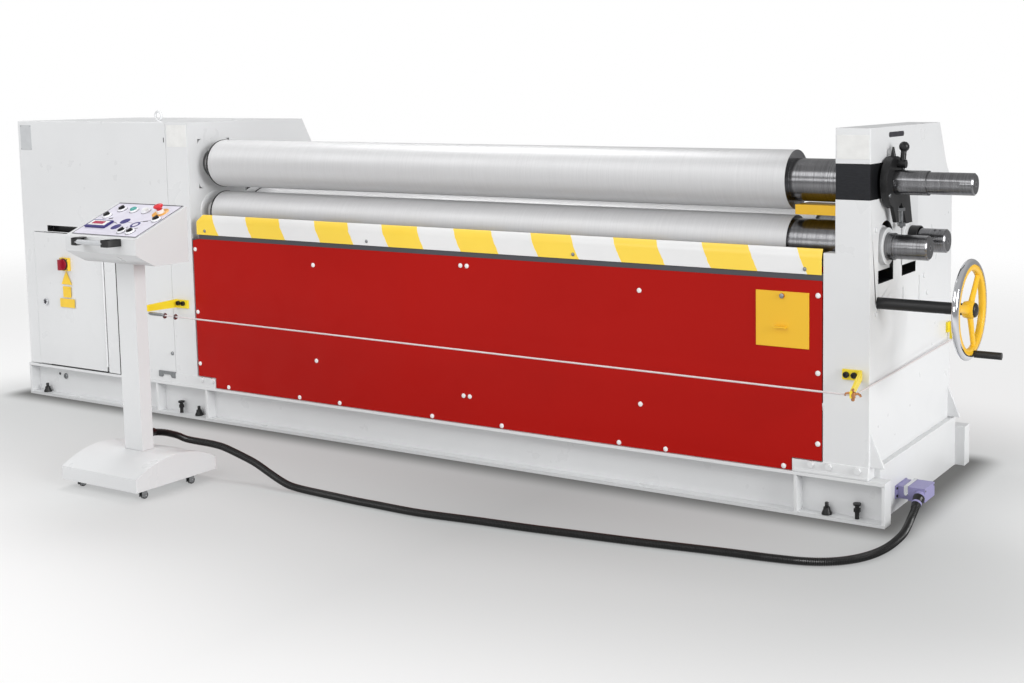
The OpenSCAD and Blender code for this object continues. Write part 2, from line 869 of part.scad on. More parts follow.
module console_post() {
    color([0.87, 0.88, 0.89]) union() {
        span([post_x - post_w / 2, post_y - post_d / 2, arch_top - post_in],
             [post_x + post_w / 2, post_y + post_d / 2, head_low]);
        bar([post_x, post_y + post_d / 2 - 1, cord_start[2]], cord_start, gland_r + 1);
    }
}

function head_top(y) = head_z + (y - head_y0) * tan(head_tilt);

module console_head() {
    y1 = head_y0 + head_d;
    color([0.87, 0.88, 0.89]) difference() {
        slab_x(head_x0, head_x0 + head_w, [
            [head_y0, head_lip], [head_y0, head_top(head_y0)], [y1, head_top(y1)],
            [y1, head_low], [head_y0 + head_cut, head_low],
            [head_y0 + head_knee[0], head_knee[1]]
        ]);
        button_holes();
    }
}

// places children on the sloping panel: u along X, v up the slope, from its front left corner
module on_panel(u, v, lift) {
    translate([head_x0, head_y0, head_z])
        rotate([head_tilt, 0, 0])
            translate([u, v, lift]) children();
}

sheet_w = head_w - sheet_left - sheet_right;
sheet_d = head_d / cos(head_tilt) - sheet_m - sheet_back;

function u_at(s) = sheet_left + s * sheet_w;
function v_at(s) = sheet_m + s * sheet_d;

button_r = 12;
stem_r = 9;
hole_fit = 0.4;
hole_deep = 16;
e_stop_at = [u_at(0.84), v_at(0.755)];
start_at = [u_at(0.398), v_at(0.779)];
lamp_at = [u_at(0.591), v_at(0.777)];

// holes for the three push buttons
module button_holes() {
    for (h = [[e_stop_at, stem_r], [start_at, button_r], [lamp_at, button_r]])
        on_panel(h[0][0], h[0][1], -hole_deep) cylinder(h = 2 * hole_deep, r = h[1] + hole_fit);
}

module console_sheet() {
    color([0.86, 0.85, 0.90]) difference() {
        on_panel(sheet_left, sheet_m, 0) cube([sheet_w, sheet_d, sheet_t]);
        button_holes();
    }
}

module console_handle() {
    hx0 = head_x0 + 88;
    hx1 = hx0 + 192;
    hy = head_y0 - 45;
    hz = 851;
    color([0.10, 0.10, 0.11]) union() {
        for (x = [hx0, hx1 - 36])
            span([x, hy - 8, hz - 12], [x + 36, head_y0, hz + 12]);
        rod_x(hx0 + 30, hx1 - 30, hy, hz, 8);
    }
}

// a push button that reaches down into its hole
module push(at, r, cap_r, cap_z, cap_h) {
    on_panel(at[0], at[1], -8)
        union() {
            cylinder(h = cap_z + 9, r = r);
            translate([0, 0, cap_z + 8]) cylinder(h = cap_h, r = cap_r);
        }
}

// a selector: a round body with a grip bar across it
module selector(u, v, r, h, bar_w) {
    on_panel(u, v, sheet_t + hair)
        union() {
            cylinder(h = h * 0.45, r = r);
            translate([-bar_w / 2, -r * 0.8, 0]) cube([bar_w, r * 1.6, h]);
        }
}

module e_stop() {
    color([0.80, 0.08, 0.08]) push(e_stop_at, stem_r, 17, 17, 15);
}

module start_button() {
    color([0.30, 0.65, 0.60]) push(start_at, button_r, button_r - 2, 10, 3);
}

module lamp_button() {
    color([0.95, 0.95, 0.95]) push(lamp_at, button_r, button_r - 2, 10, 3);
}

module mode_selector() {
    color([0.10, 0.10, 0.11]) selector(u_at(0.197), v_at(0.794), 12, 13, 7);
}

module feed_selector() {
    color([0.10, 0.10, 0.11]) selector(u_at(0.123), v_at(0.568), 12, 13, 7);
}

module speed_selector() {
    color([0.10, 0.10, 0.11]) selector(u_at(0.925), v_at(0.539), 12, 13, 7);
}

module jog_left() {
    color([0.10, 0.10, 0.11]) selector(u_at(0.681), v_at(0.142), 12, 12, 6);
}

module jog_right() {
    color([0.10, 0.10, 0.11]) selector(u_at(0.82), v_at(0.135), 12, 12, 6);
}

// ---------- casters ----------

module caster_fork(i) {
    p = caster_pos[i];
    color([0.20, 0.20, 0.22]) union() {
        translate([p[0], p[1], foot_z - 1.8]) cylinder(h = 1.8 - hair, r = 12, $fn = 32);
        for (s = [-1, 1])
            span([p[0] + s * 8 - 1.5, p[1] - 6, wheel_small_r - 4],
                 [p[0] + s * 8 + 1.5, p[1] + caster_off + 5, foot_z - hair]);
        rod_x(p[0] - 8, p[0] + 8, p[1] + caster_off, wheel_small_r, 2.5);
    }
}

module caster_wheel(i) {
    p = caster_pos[i];
    color([0.08, 0.08, 0.09])
        difference() {
            rod_x(p[0] - 5, p[0] + 5, p[1] + caster_off, wheel_small_r, wheel_small_r);
            rod_x(p[0] - 6, p[0] + 6, p[1] + caster_off, wheel_small_r, 2.5 + run_fit);
        }
}

// ---------- connector and conduit ----------

module connector_socket() {
    color([0.70, 0.71, 0.78])
        union() {
            span([end_x, plug_y - 51.5, plug_z - 21.5], [end_x + 5, plug_y + 51.5, plug_z + 21.5]);
            span([end_x, plug_y - 42, plug_z - 20], [end_x + 42, plug_y + 42, plug_z + 20]);
        }
}

module connector_plug() {
    x0 = end_x + 42;
    tip = cord_route[len(cord_route) - 1];
    color([0.78, 0.78, 0.86])
        union() {
            span([x0, plug_y - 47, plug_z - 22], [x0 + 55, plug_y + 47, plug_z + 22]);
            bar(tip + gland_l * [0, cos(gland_a), sin(gland_a)], tip, gland_r);
        }
}

function unit(v) = v / norm(v);

// points along one smooth stretch between two route points
function curve(p0, p1, p2, p3, t) =
    0.5 * (2 * p1 + (p2 - p0) * t + (2 * p0 - 5 * p1 + 4 * p2 - p3) * t * t
           + (3 * p1 - p0 - 3 * p2 + p3) * t * t * t);

module conduit() {
    route = cord_route;
    n = len(route);
    per = 3;
    last = n - 1;
    pts = [for (i = [0:n - 2], k = [0:per - 1])
           curve(route[max(i - 1, 0)], route[i], route[i + 1], route[min(i + 2, last)], k / per)];
    line = concat(pts, [route[last]]);
    m = len(line);
    dirs = [for (i = [0:m - 1]) unit(line[min(i + 1, m - 1)] - line[max(i - 1, 0)])];
    rings = [for (i = [0:m - 1])
             let (side = unit(cross(dirs[i], [0, 0, 1])), up = cross(side, dirs[i]))
             for (k = [0:cord_sides - 1])
             let (a = 360 * (k + 0.5) / cord_sides)
             line[i] + cord_d / 2 * (cos(a) * side + sin(a) * up)];
    sides = [for (i = [0:m - 2], k = [0:cord_sides - 1])
             let (a = i * cord_sides + k, b = i * cord_sides + (k + 1) % cord_sides)
             [a, b, b + cord_sides, a + cord_sides]];
    cap0 = [[for (k = [cord_sides - 1:-1:0]) k]];
    cap1 = [[for (k = [0:cord_sides - 1]) (m - 1) * cord_sides + k]];
    color([0.07, 0.07, 0.08])
        polyhedron(points = rings, faces = concat(cap0, sides, cap1), convexity = 6);
}

// ---------- what is drawn ----------

base_front_beam();
base_rear_beam();
base_left_plate();
base_right_plate();
left_frame();
right_frame();
drive_housing();
lifting_eye();
cabinet_door();
main_switch();
switch_knob();
bearing_plate();
swing_drum();
front_panel();
rear_panel();
access_cover();
stripe_guard();
guard_rail();
top_roll();
front_roll();
rear_roll();
drop_block();
wear_block();
front_block_left();
front_block_right();
rear_block_left();
rear_block_right();
clamp_plate();
clamp_lever();
wheel_shaft();
handwheel();
crank_grip();
left_bracket();
right_bracket();
rear_bracket();
safety_rope();
console_foot();
console_post();
console_head();
console_sheet();
console_handle();
e_stop();
start_button();
lamp_button();
mode_selector();
feed_selector();
speed_selector();
jog_left();
jog_right();
caster_fork(0);  // caster_fork_1
caster_fork(1);  // caster_fork_2
caster_fork(2);  // caster_fork_3
caster_fork(3);  // caster_fork_4
caster_wheel(0);  // caster_wheel_1
caster_wheel(1);  // caster_wheel_2
caster_wheel(2);  // caster_wheel_3
caster_wheel(3);  // caster_wheel_4
connector_socket();
connector_plug();
conduit();
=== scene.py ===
# The looks of the plate rolling machine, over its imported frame. Metres throughout.
from math import cos, pi, radians, sin

import bmesh
import bpy
from mathutils import Matrix, Vector


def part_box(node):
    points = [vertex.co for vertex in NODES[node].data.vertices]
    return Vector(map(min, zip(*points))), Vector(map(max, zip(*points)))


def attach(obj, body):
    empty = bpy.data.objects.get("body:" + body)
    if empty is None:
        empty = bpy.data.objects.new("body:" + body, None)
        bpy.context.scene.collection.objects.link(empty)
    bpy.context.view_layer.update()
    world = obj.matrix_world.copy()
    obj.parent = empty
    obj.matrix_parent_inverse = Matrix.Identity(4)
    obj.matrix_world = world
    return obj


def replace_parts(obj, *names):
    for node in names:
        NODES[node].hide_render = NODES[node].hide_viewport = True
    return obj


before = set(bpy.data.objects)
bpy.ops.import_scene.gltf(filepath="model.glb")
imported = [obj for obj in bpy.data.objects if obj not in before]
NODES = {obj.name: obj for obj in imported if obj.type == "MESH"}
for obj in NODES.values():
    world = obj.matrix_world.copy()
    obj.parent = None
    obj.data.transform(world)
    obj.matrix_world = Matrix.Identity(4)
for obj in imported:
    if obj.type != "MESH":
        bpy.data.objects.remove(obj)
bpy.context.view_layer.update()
scene = bpy.context.scene
X, Y, Z = Vector((1, 0, 0)), Vector((0, 1, 0)), Vector((0, 0, 1))

# ---------------------------------------------------------------- camera

YAW, PITCH, ROLL = radians(29.523), radians(5.925), radians(-0.505)
EYE = Vector((3.4538, -3.8584, 1.3479))

ahead = Vector((-sin(YAW) * cos(PITCH), cos(YAW) * cos(PITCH), -sin(PITCH)))
side = Vector((cos(YAW), sin(YAW), 0))
top = side.cross(ahead)
side, top = cos(ROLL) * side + sin(ROLL) * top, cos(ROLL) * top - sin(ROLL) * side
cam = bpy.data.objects.new("camera", bpy.data.cameras.new("camera"))
scene.collection.objects.link(cam)
cam.data.sensor_width = 36
cam.data.lens = 48.152
cam.data.shift_x = -0.1553
cam.data.shift_y = -0.1118
cam.data.clip_end = 200
cam.matrix_world = Matrix((
    (side.x, top.x, -ahead.x, EYE.x), (side.y, top.y, -ahead.y, EYE.y),
    (side.z, top.z, -ahead.z, EYE.z), (0, 0, 0, 1)))
scene.camera = cam

# ---------------------------------------------------------------- materials

FAR = 9.0                    # past any part of the machine


def node(t, kind, **given):
    """A shader node: sockets by name with _ for a space, node settings after set_."""
    n = t.nodes.new("ShaderNode" + kind)
    for key, value in given.items():
        if key.startswith("set_"):
            setattr(n, key[4:], value)
            continue
        name = key.replace("_", " ")
        socket = next(s for s in n.inputs if s.name == name and s.enabled)
        if isinstance(value, bpy.types.NodeSocket):
            t.links.new(value, socket)
        else:
            socket.default_value = value
    return n


def rgb(r, g, b):
    """A colour given as it looks on screen, 0 to 255, as the linear colour that shaders take."""
    def lin(c):
        c /= 255
        return c / 12.92 if c <= 0.04045 else ((c + 0.055) / 1.055) ** 2.4
    return (lin(r), lin(g), lin(b), 1)


def shade(colour, by):
    return tuple(c * by for c in colour[:3]) + (1,)


def noise(t, scale, detail=3, stretch=(1, 1, 1), rough=0.5):
    at = node(t, "TexCoord").outputs["Object"]
    at = node(t, "Mapping", Vector=at, Scale=stretch).outputs["Vector"]
    return node(t, "TexNoise", Vector=at, Scale=scale, Detail=detail, Roughness=rough).outputs["Fac"]


def ramp(t, fac, low, high, a, b):
    """Maps fac from low..high to a..b, smoothly."""
    n = node(t, "MapRange", Value=fac, From_Min=low, From_Max=high, To_Min=a, To_Max=b)
    n.interpolation_type = "SMOOTHSTEP"
    return n.outputs["Result"]


def blend(t, fac, a, b):
    n = node(t, "Mix", set_data_type="RGBA")
    for socket, value in ((n.inputs[0], fac), (n.inputs[6], a), (n.inputs[7], b)):
        if isinstance(value, bpy.types.NodeSocket):
            t.links.new(value, socket)
        else:
            socket.default_value = value
    return n.outputs[2]


def start(name, **given):
    m = bpy.data.materials.new(name)
    m.use_nodes = True
    t = m.node_tree
    b = t.nodes["Principled BSDF"]
    for key, value in given.items():
        b.inputs[key.replace("_", " ")].default_value = value
    return m, t, b


def bump(t, b, height, strength, distance):
    n = node(t, "Bump", Height=height, Strength=strength, Distance=distance)
    t.links.new(n.outputs["Normal"], b.inputs["Normal"])


def maths(t, kind, a, b=0.0):
    n = node(t, "Math", set_operation=kind)
    for socket, value in zip(n.inputs, (a, b)):
        if isinstance(value, bpy.types.NodeSocket):
            t.links.new(value, socket)
        else:
            socket.default_value = value
    return n.outputs[0]


def within(t, lo, hi):
    """1 inside a box of the frame's coordinates, 0 outside it."""
    at = node(t, "SeparateXYZ", Vector=node(t, "TexCoord").outputs["Object"])
    out = None
    for axis, low, high in zip("XYZ", lo, hi):
        for kind, edge in (("GREATER_THAN", low), ("LESS_THAN", high)):
            test = maths(t, kind, at.outputs[axis], edge)
            out = test if out is None else maths(t, "MULTIPLY", out, test)
    return out


def enamel(name, colour, rough=0.32, coat=0.25, peel=0.05, soil=0.955, dark=()):
    """Sprayed enamel: a faint orange peel and slow tone changes. dark is boxes painted near black: painted
    shade inside openings and recesses.
    """
    m, t, b = start(name, Coat_Weight=coat, Coat_Roughness=0.12, Specular_IOR_Level=0.4)
    slow = noise(t, 1.7, 3)
    fine = noise(t, 9, 4)
    tone = blend(t, ramp(t, slow, 0.3, 0.7, 0, 1), shade(colour, 0.965), shade(colour, 1.02))
    tone = blend(t, ramp(t, fine, 0.55, 0.78, 0, 0.30), tone, shade(colour, soil))
    for lo, hi in dark:
        # painted shade: each dark box is coloured near black
        tone = blend(t, within(t, lo, hi), tone, rgb(14, 14, 15))
    t.links.new(tone, b.inputs["Base Color"])
    t.links.new(ramp(t, fine, 0.3, 0.75, rough - 0.05, rough + 0.09), b.inputs["Roughness"])
    bump(t, b, noise(t, 420, 2), peel, 0.0006)
    return m


def steel(name, colour, rough=0.28, turned=0.2, streak=0.9, metal=1.0, along=(700, 6, 6)):
    """Turned or ground steel: fine marks round the axis, and slow changes of sheen."""
    m, t, b = start(name, Metallic=metal)
    marks = noise(t, 1.0, 3, along, 0.7)
    slow = noise(t, 3.0, 3, (1, 2, 2))
    tone = blend(t, ramp(t, marks, 0.35, 0.65, 0, 1), shade(colour, streak), colour)
    t.links.new(tone, b.inputs["Base Color"])
    t.links.new(ramp(t, slow, 0.3, 0.7, rough - 0.03, rough + 0.05), b.inputs["Roughness"])
    bump(t, b, marks, turned, 0.0002)
    return m


def ground_roll(name, x0, x1):
    """A ground roll between x0 and x1, painted left of it, with a darker turned journal on its right."""
    m, t, b = start(name)
    marks = noise(t, 1.0, 3, (700, 6, 6), 0.7)
    slow = noise(t, 2.0, 3, (1, 2, 2))
    body = within(t, (x0 + 0.0005, -FAR, -FAR), (x1 - 0.0005, FAR, FAR))
    left = within(t, (-FAR, -FAR, -FAR), (x0 - 0.004, FAR, FAR))
    face = blend(t, ramp(t, marks, 0.35, 0.65, 0, 1), rgb(203, 203, 204), rgb(210, 210, 211))
    neck = blend(t, ramp(t, marks, 0.35, 0.65, 0, 1), rgb(112, 112, 114), rgb(140, 140, 142))
    neck = blend(t, left, neck, rgb(206, 206, 206))
    t.links.new(blend(t, body, neck, face), b.inputs["Base Color"])
    metal = maths(t, "SUBTRACT", 1.0, maths(t, "MULTIPLY", body, 0.62))
    t.links.new(maths(t, "SUBTRACT", metal, left), b.inputs["Metallic"])
    sheen = ramp(t, slow, 0.3, 0.7, 0.22, 0.29)
    t.links.new(maths(t, "ADD", sheen, maths(t, "MULTIPLY", body, 0.24)), b.inputs["Roughness"])
    bump(t, b, marks, 0.12, 0.0002)
    return m


def plastic(name, colour, rough=0.4, grain=0.15, size=900):
    m, t, b = start(name, Specular_IOR_Level=0.5)
    slow = noise(t, 30, 3)
    t.links.new(blend(t, slow, shade(colour, 0.88), shade(colour, 1.08)), b.inputs["Base Color"])
    t.links.new(ramp(t, slow, 0.3, 0.7, rough - 0.05, rough + 0.06), b.inputs["Roughness"])
    bump(t, b, noise(t, size, 2), grain, 0.0003)
    return m


ROLL_ENDS = -0.885, 1.665    # the rolls' working faces
TOP_AXIS, FRONT_AXIS, REAR_AXIS = (0.115, 1.046), (0.115, 0.848), (0.323, 0.848)
WHITE = rgb(222, 223, 224)
YELLOW = rgb(240, 188, 38)
paint_white = enamel("paint_white", WHITE)
# painted shade: near black inside the right frame's mouth and in the bearing openings of both frames
frame_paint = enamel("frame_paint", WHITE, dark=[
    ((1.853, -0.0200, 0.9985), (1.9645, FAR, 1.1075)),
    ((1.814, 0.0490, 0.737), (1.9640, 0.3890, 1.020)),
    ((-1.060, 0.0490, 0.737), (-0.9505, 0.3890, 1.020))])
# painted shade: near black inside the housing's slot where the door sits
housing_paint = enamel("housing_paint", WHITE, dark=[
    ((-1.8750, -0.0205, 0.1390), (-1.3945, 0.0095, 0.7625))])
console_paint = enamel("console_paint", rgb(212, 213, 214))
block_paint = enamel("block_paint", rgb(214, 215, 216))
paint_red = enamel("paint_red", rgb(172, 14, 6), rough=0.48, coat=0.03, soil=0.93)
paint_red.node_tree.nodes["Principled BSDF"].inputs["Specular IOR Level"].default_value = 0.12
paint_yellow = enamel("paint_yellow", YELLOW, rough=0.38, coat=0.12)
paint_lemon = enamel("paint_lemon", rgb(240, 214, 44), rough=0.38, coat=0.12)
rail_grey = enamel("rail_grey", rgb(70, 70, 76), rough=0.4)
top_steel = ground_roll("top_roll_steel", *ROLL_ENDS)
low_steel = ground_roll("low_roll_steel", *ROLL_ENDS)
block_steel = steel("block_steel", rgb(44, 45, 48), rough=0.42, turned=0.2, streak=0.8, metal=0.8,
                    along=(60, 60, 400))
bright_steel = steel("bright_steel", rgb(205, 205, 205), rough=0.22, turned=0.15, along=(90, 90, 90))
zinc = steel("zinc", rgb(150, 152, 154), rough=0.3, turned=0.15, along=(120, 120, 120))
brass = steel("brass", rgb(196, 140, 96), rough=0.32, turned=0.15, along=(90, 90, 90))
chrome = steel("chrome", rgb(226, 227, 230), rough=0.06, turned=0.02, streak=0.97, along=(25, 25, 25))
black_steel = enamel("black_steel", rgb(24, 24, 25), rough=0.40, coat=0.0, peel=0.35, soil=1.5)
alloy = steel("alloy", rgb(160, 155, 200), rough=0.42, turned=0.3, metal=0.3, along=(300, 300, 300))
rope_coat = plastic("rope_coat", rgb(214, 206, 206), rough=0.35)
black_plastic = plastic("black_plastic", rgb(26, 26, 27), rough=0.42)
grey_plastic = plastic("grey_plastic", rgb(188, 190, 193), rough=0.34)
silver_plate = plastic("silver_plate", rgb(196, 198, 200), rough=0.34, grain=0.05)
red_plastic = plastic("red_plastic", rgb(206, 30, 44), rough=0.28, grain=0.05)
dark_red_plastic = plastic("dark_red_plastic", rgb(150, 20, 42), rough=0.34, grain=0.05)
green_plastic = plastic("green_plastic", rgb(84, 166, 158), rough=0.22, grain=0.03)
bezel_white = plastic("bezel_white", rgb(238, 238, 242), rough=0.2, grain=0.02)
white_plastic = plastic("white_plastic", rgb(236, 236, 236), rough=0.24, grain=0.03)
yellow_plastic = plastic("yellow_plastic", rgb(246, 204, 56), rough=0.34, grain=0.05)
orange_plastic = plastic("orange_plastic", rgb(222, 160, 60), rough=0.34, grain=0.05)
ink_blue = plastic("ink_blue", rgb(48, 40, 112), rough=0.4, grain=0.02)
# near black print, also used as painted shade in holes and slots
print_and_shade_black = plastic("print_and_shade_black", rgb(40, 38, 46), rough=0.4, grain=0.02)
screen_red = plastic("screen_red", rgb(168, 30, 70), rough=0.15, grain=0.0)
laminate = plastic("laminate", rgb(212, 209, 221), rough=0.38, grain=0.06)
# near black rubber, also used as painted shade at the rolls' left ends
rubber = plastic("rubber", rgb(9, 9, 9), rough=0.34, grain=0.3)
label_white = plastic("label_white", rgb(230, 230, 228), rough=0.36, grain=0.03)


def striped():
    """White enamel with slanting yellow bands of one pitch, wider towards the left end."""
    m, t, b = start("guard_stripes", Coat_Weight=0.25, Coat_Roughness=0.12)
    pitch, width, first, lean, z0 = 0.3345, 0.168, -0.621, 0.50, 0.845
    at = node(t, "SeparateXYZ", Vector=node(t, "TexCoord").outputs["Object"])
    wobble = ramp(t, noise(t, 40, 2), 0.3, 0.7, -0.0015, 0.0015)
    along = maths(t, "ADD", maths(t, "MULTIPLY", at.outputs["Z"], lean), 20 * pitch - first - lean * z0)
    wider = maths(t, "MULTIPLY", maths(t, "MAXIMUM", maths(t, "SUBTRACT", -0.26, at.outputs["X"]), 0.0), 0.08)
    along = maths(t, "ADD", along, maths(t, "ADD", at.outputs["X"], wider))
    turn = maths(t, "MODULO", maths(t, "ADD", along, wobble), pitch)
    edge = node(t, "MapRange", Value=turn, From_Min=width - 0.001, From_Max=width + 0.001, To_Min=1, To_Max=0)
    lead = node(t, "MapRange", Value=turn, From_Min=0.0, From_Max=0.002, To_Min=0, To_Max=1)
    both = maths(t, "MULTIPLY", edge.outputs[0], lead.outputs[0])
    tone = noise(t, 5, 3)
    white = blend(t, tone, shade(rgb(232, 232, 232), 0.95), rgb(236, 236, 236))
    yellow = blend(t, tone, shade(rgb(254, 214, 66), 0.95), rgb(255, 220, 76))
    t.links.new(blend(t, both, white, yellow), b.inputs["Base Color"])
    t.links.new(ramp(t, noise(t, 9, 4), 0.3, 0.7, 0.28, 0.42), b.inputs["Roughness"])
    bump(t, b, noise(t, 420, 2), 0.05, 0.0006)
    return m


guard_paint = striped()

# ---------------------------------------------------------------- shapes


def frame_of(axis):
    """Two directions square to axis."""
    a = Vector(axis).normalized()
    u = a.cross(Z if abs(a.z) < 0.9 else X).normalized()
    return a, u, a.cross(u)


class Kit:
    """Shapes gathered into one piece."""

    def __init__(self, name, mat, body="machine", slot=None, bevel=0.0, smooth=32):
        self.name, self.mat, self.body, self.slot = name, mat, body, slot
        self.bevel, self.smooth = bevel, smooth
        self.bm = bmesh.new()

    def add(self, verts, faces):
        vs = [self.bm.verts.new(v) for v in verts]
        for f in faces:
            self.bm.faces.new([vs[i] for i in f])
        return vs

    def box(self, lo, hi):
        c = [Vector((x, y, z)) for x in (lo[0], hi[0]) for y in (lo[1], hi[1]) for z in (lo[2], hi[2])]
        self.add(c, [(0, 1, 3, 2), (4, 6, 7, 5), (0, 4, 5, 1), (2, 3, 7, 6), (0, 2, 6, 4), (1, 5, 7, 3)])
        return self

    def lathe(self, at, axis, profile, n=32):
        """profile is (distance along axis, radius) from one end to the other."""
        a, u, v = frame_of(axis)
        at = Vector(at)
        rings = []
        for d, r in profile:
            if r < 1e-7:
                rings.append([at + a * d])
            else:
                rings.append([at + a * d + r * (cos(2 * pi * k / n) * u + sin(2 * pi * k / n) * v)
                              for k in range(n)])
        verts = [p for ring in rings for p in ring]
        first, faces, i = [], [], 0
        for ring in rings:
            first.append(i)
            i += len(ring)
        for j in range(len(rings) - 1):
            p, q = first[j], first[j + 1]
            np_, nq = len(rings[j]), len(rings[j + 1])
            for k in range(n):
                k2 = (k + 1) % n
                if np_ == 1 and nq == 1:
                    continue
                if np_ == 1:
                    faces.append((p, q + k2, q + k))
                elif nq == 1:
                    faces.append((p + k, p + k2, q))
                else:
                    faces.append((p + k, p + k2, q + k2, q + k))
        if len(rings[0]) > 1:
            faces.append(tuple(range(first[0] + n - 1, first[0] - 1, -1)))
        if len(rings[-1]) > 1:
            faces.append(tuple(range(first[-1], first[-1] + n)))
        self.add(verts, faces)
        return self

    def ring(self, at, axis, profile, n=48):
        """A closed profile of (distance along axis, radius), turned round the axis."""
        a, u, v = frame_of(axis)
        at, m = Vector(at), len(profile)
        verts = [at + a * d + r * (cos(2 * pi * k / n) * u + sin(2 * pi * k / n) * v)
                 for k in range(n) for d, r in profile]
        faces = [(k * m + j, k * m + (j + 1) % m, ((k + 1) % n) * m + (j + 1) % m, ((k + 1) % n) * m + j)
                 for k in range(n) for j in range(m)]
        self.add(verts, faces)
        return self

    def prism(self, outline, at, u, v, depth):
        """An outline in the plane of u and v, made depth thick along u x v."""
        at, u, v = Vector(at), Vector(u), Vector(v)
        w = u.cross(v) * depth
        n = len(outline)
        low = [at + u * a + v * b for a, b in outline]
        self.add(low + [p + w for p in low],
                 [tuple(range(n - 1, -1, -1)), tuple(range(n, 2 * n))]
                 + [(i, (i + 1) % n, n + (i + 1) % n, n + i) for i in range(n)])
        return self

    def hexa(self, at, axis, across, height):
        """A hexagon head with its far corners turned off."""
        r, c = across / 2 / cos(pi / 6), across * 0.06
        return self.lathe(at, axis, [(0, r), (height - c * 0.6, r), (height, r - c)], 6)

    def tube(self, points, radius, n=12):
        """A closed tube; radius is a number, or a function of the share of the way."""
        pts = [Vector(p) for p in points]
        m = len(pts)
        rings, up = [], None
        for i, p in enumerate(pts):
            d = (pts[min(i + 1, m - 1)] - pts[max(i - 1, 0)]).normalized()
            if up is None:
                up = d.cross(Z if abs(d.z) < 0.9 else X).normalized()
            up = (up - d * up.dot(d)).normalized()
            w = d.cross(up)
            r = radius(i / (m - 1)) if callable(radius) else radius
            rings.append([p + r * (cos(2 * pi * k / n) * up + sin(2 * pi * k / n) * w) for k in range(n)])
        faces = [(i * n + k, i * n + (k + 1) % n, (i + 1) * n + (k + 1) % n, (i + 1) * n + k)
                 for i in range(m - 1) for k in range(n)]
        faces += [tuple(range(n - 1, -1, -1)), tuple(range((m - 1) * n, m * n))]
        self.add([p for ring in rings for p in ring], faces)
        return self

    def done(self):
        """Makes the object and puts it on its body."""
        bmesh.ops.recalc_face_normals(self.bm, faces=self.bm.faces)
        me = bpy.data.meshes.new(self.name)
        self.bm.to_mesh(me)
        self.bm.free()
        for p in me.polygons:
            p.use_smooth = True
        me.set_sharp_from_angle(angle=radians(self.smooth))
        me.materials.append(self.mat)
        o = bpy.data.objects.new(self.name, me)
        scene.collection.objects.link(o)
        if self.bevel:
            edges(o, self.bevel)
        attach(o, self.body)
        return o


def edges(o, width, segments=2, angle=35):
    b = o.modifiers.new("edges", "BEVEL")
    b.width, b.segments, b.limit_method, b.angle_limit = width, segments, "ANGLE", radians(angle)
    b.harden_normals = True
    b.use_clamp_overlap = True


def bolt_head(kit, at, axis, r, h):
    """A domed head."""
    kit.lathe(at, axis, [(0, r), (h * 0.35, r * 0.98), (h * 0.7, r * 0.78), (h * 0.92, r * 0.45), (h, 0)], 20)


def cap_screw(kit, at, axis, r, h):
    """A socket-head screw with its round recess."""
    kit.lathe(at, axis, [(0, r), (h * 0.88, r), (h, r * 0.9), (h, r * 0.52), (h * 0.55, r * 0.5),
                         (h * 0.5, 0)], 24)


def arc(cx, cy, r, a0, a1, n=8):
    return [(cx + r * cos(radians(a0 + (a1 - a0) * i / n)), cy + r * sin(radians(a0 + (a1 - a0) * i / n)))
            for i in range(n + 1)]


def round_rect(w, h, r, n=5):
    out = []
    for sx, sy, a in ((1, 1, 0), (-1, 1, 90), (-1, -1, 180), (1, -1, 270)):
        out += arc(sx * (w / 2 - r), sy * (h / 2 - r), r, a, a + 90, n)
    return out


# ---------------------------------------------------------------- the conduit

CORD_D = 0.025
ROUTE = [
    (-0.414, -0.707, 0.165), (-0.4118, -0.6813, 0.1618), (-0.4048, -0.659, 0.1566), (-0.3951, -0.6418, 0.1507),
    (-0.3748, -0.6205, 0.140), (-0.350, -0.607, 0.128), (-0.315, -0.593, 0.121), (-0.278, -0.582, 0.117),
    (-0.240, -0.573, 0.112), (-0.203, -0.567, 0.105), (-0.133, -0.565, 0.088), (-0.062, -0.565, 0.069),
    (0.009, -0.575, 0.049), (0.074, -0.584, 0.031), (0.125, -0.588, 0.020), (0.185, -0.585, 0.014),
    (0.304, -0.590, 0.013), (0.417, -0.596, 0.013), (0.523, -0.597, 0.013), (0.630, -0.599, 0.013),
    (0.726, -0.594, 0.013), (0.906, -0.573, 0.013), (1.082, -0.556, 0.013), (1.249, -0.534, 0.013),
    (1.411, -0.513, 0.013), (1.566, -0.489, 0.013), (1.717, -0.466, 0.013), (1.830, -0.452, 0.013),
    (1.930, -0.432, 0.013), (2.000, -0.399, 0.013), (2.052, -0.346, 0.013), (2.084, -0.280, 0.013),
    (2.099, -0.200, 0.013), (2.099, -0.100, 0.013), (2.090, -0.030, 0.014), (2.077, 0.040, 0.018),
    (2.072, 0.076, 0.0245), (2.068, 0.109, 0.0335), (2.066, 0.126, 0.042)]


def smooth_line(route, per):
    pts = [Vector(p) for p in route]
    out = []
    for i in range(len(pts) - 1):
        p0, p1, p2, p3 = (pts[max(i - 1, 0)], pts[i], pts[i + 1], pts[min(i + 2, len(pts) - 1)])
        for k in range(per):
            t = k / per
            out.append(0.5 * (2 * p1 + (p2 - p0) * t + (2 * p0 - 5 * p1 + 4 * p2 - p3) * t * t
                              + (3 * p1 - p0 - 3 * p2 + p3) * t ** 3))
    return out + [pts[-1]]


def spaced(line, step):
    """The same line, walked in even steps."""
    out, left = [line[0]], step
    for a, b in zip(line, line[1:]):
        d = (b - a).length
        while left <= d:
            out.append(a.lerp(b, left / d))
            left += step
        left -= d
    if (out[-1] - line[-1]).length > step * 0.3:
        out.append(line[-1])
    else:
        out[-1] = line[-1]
    return out


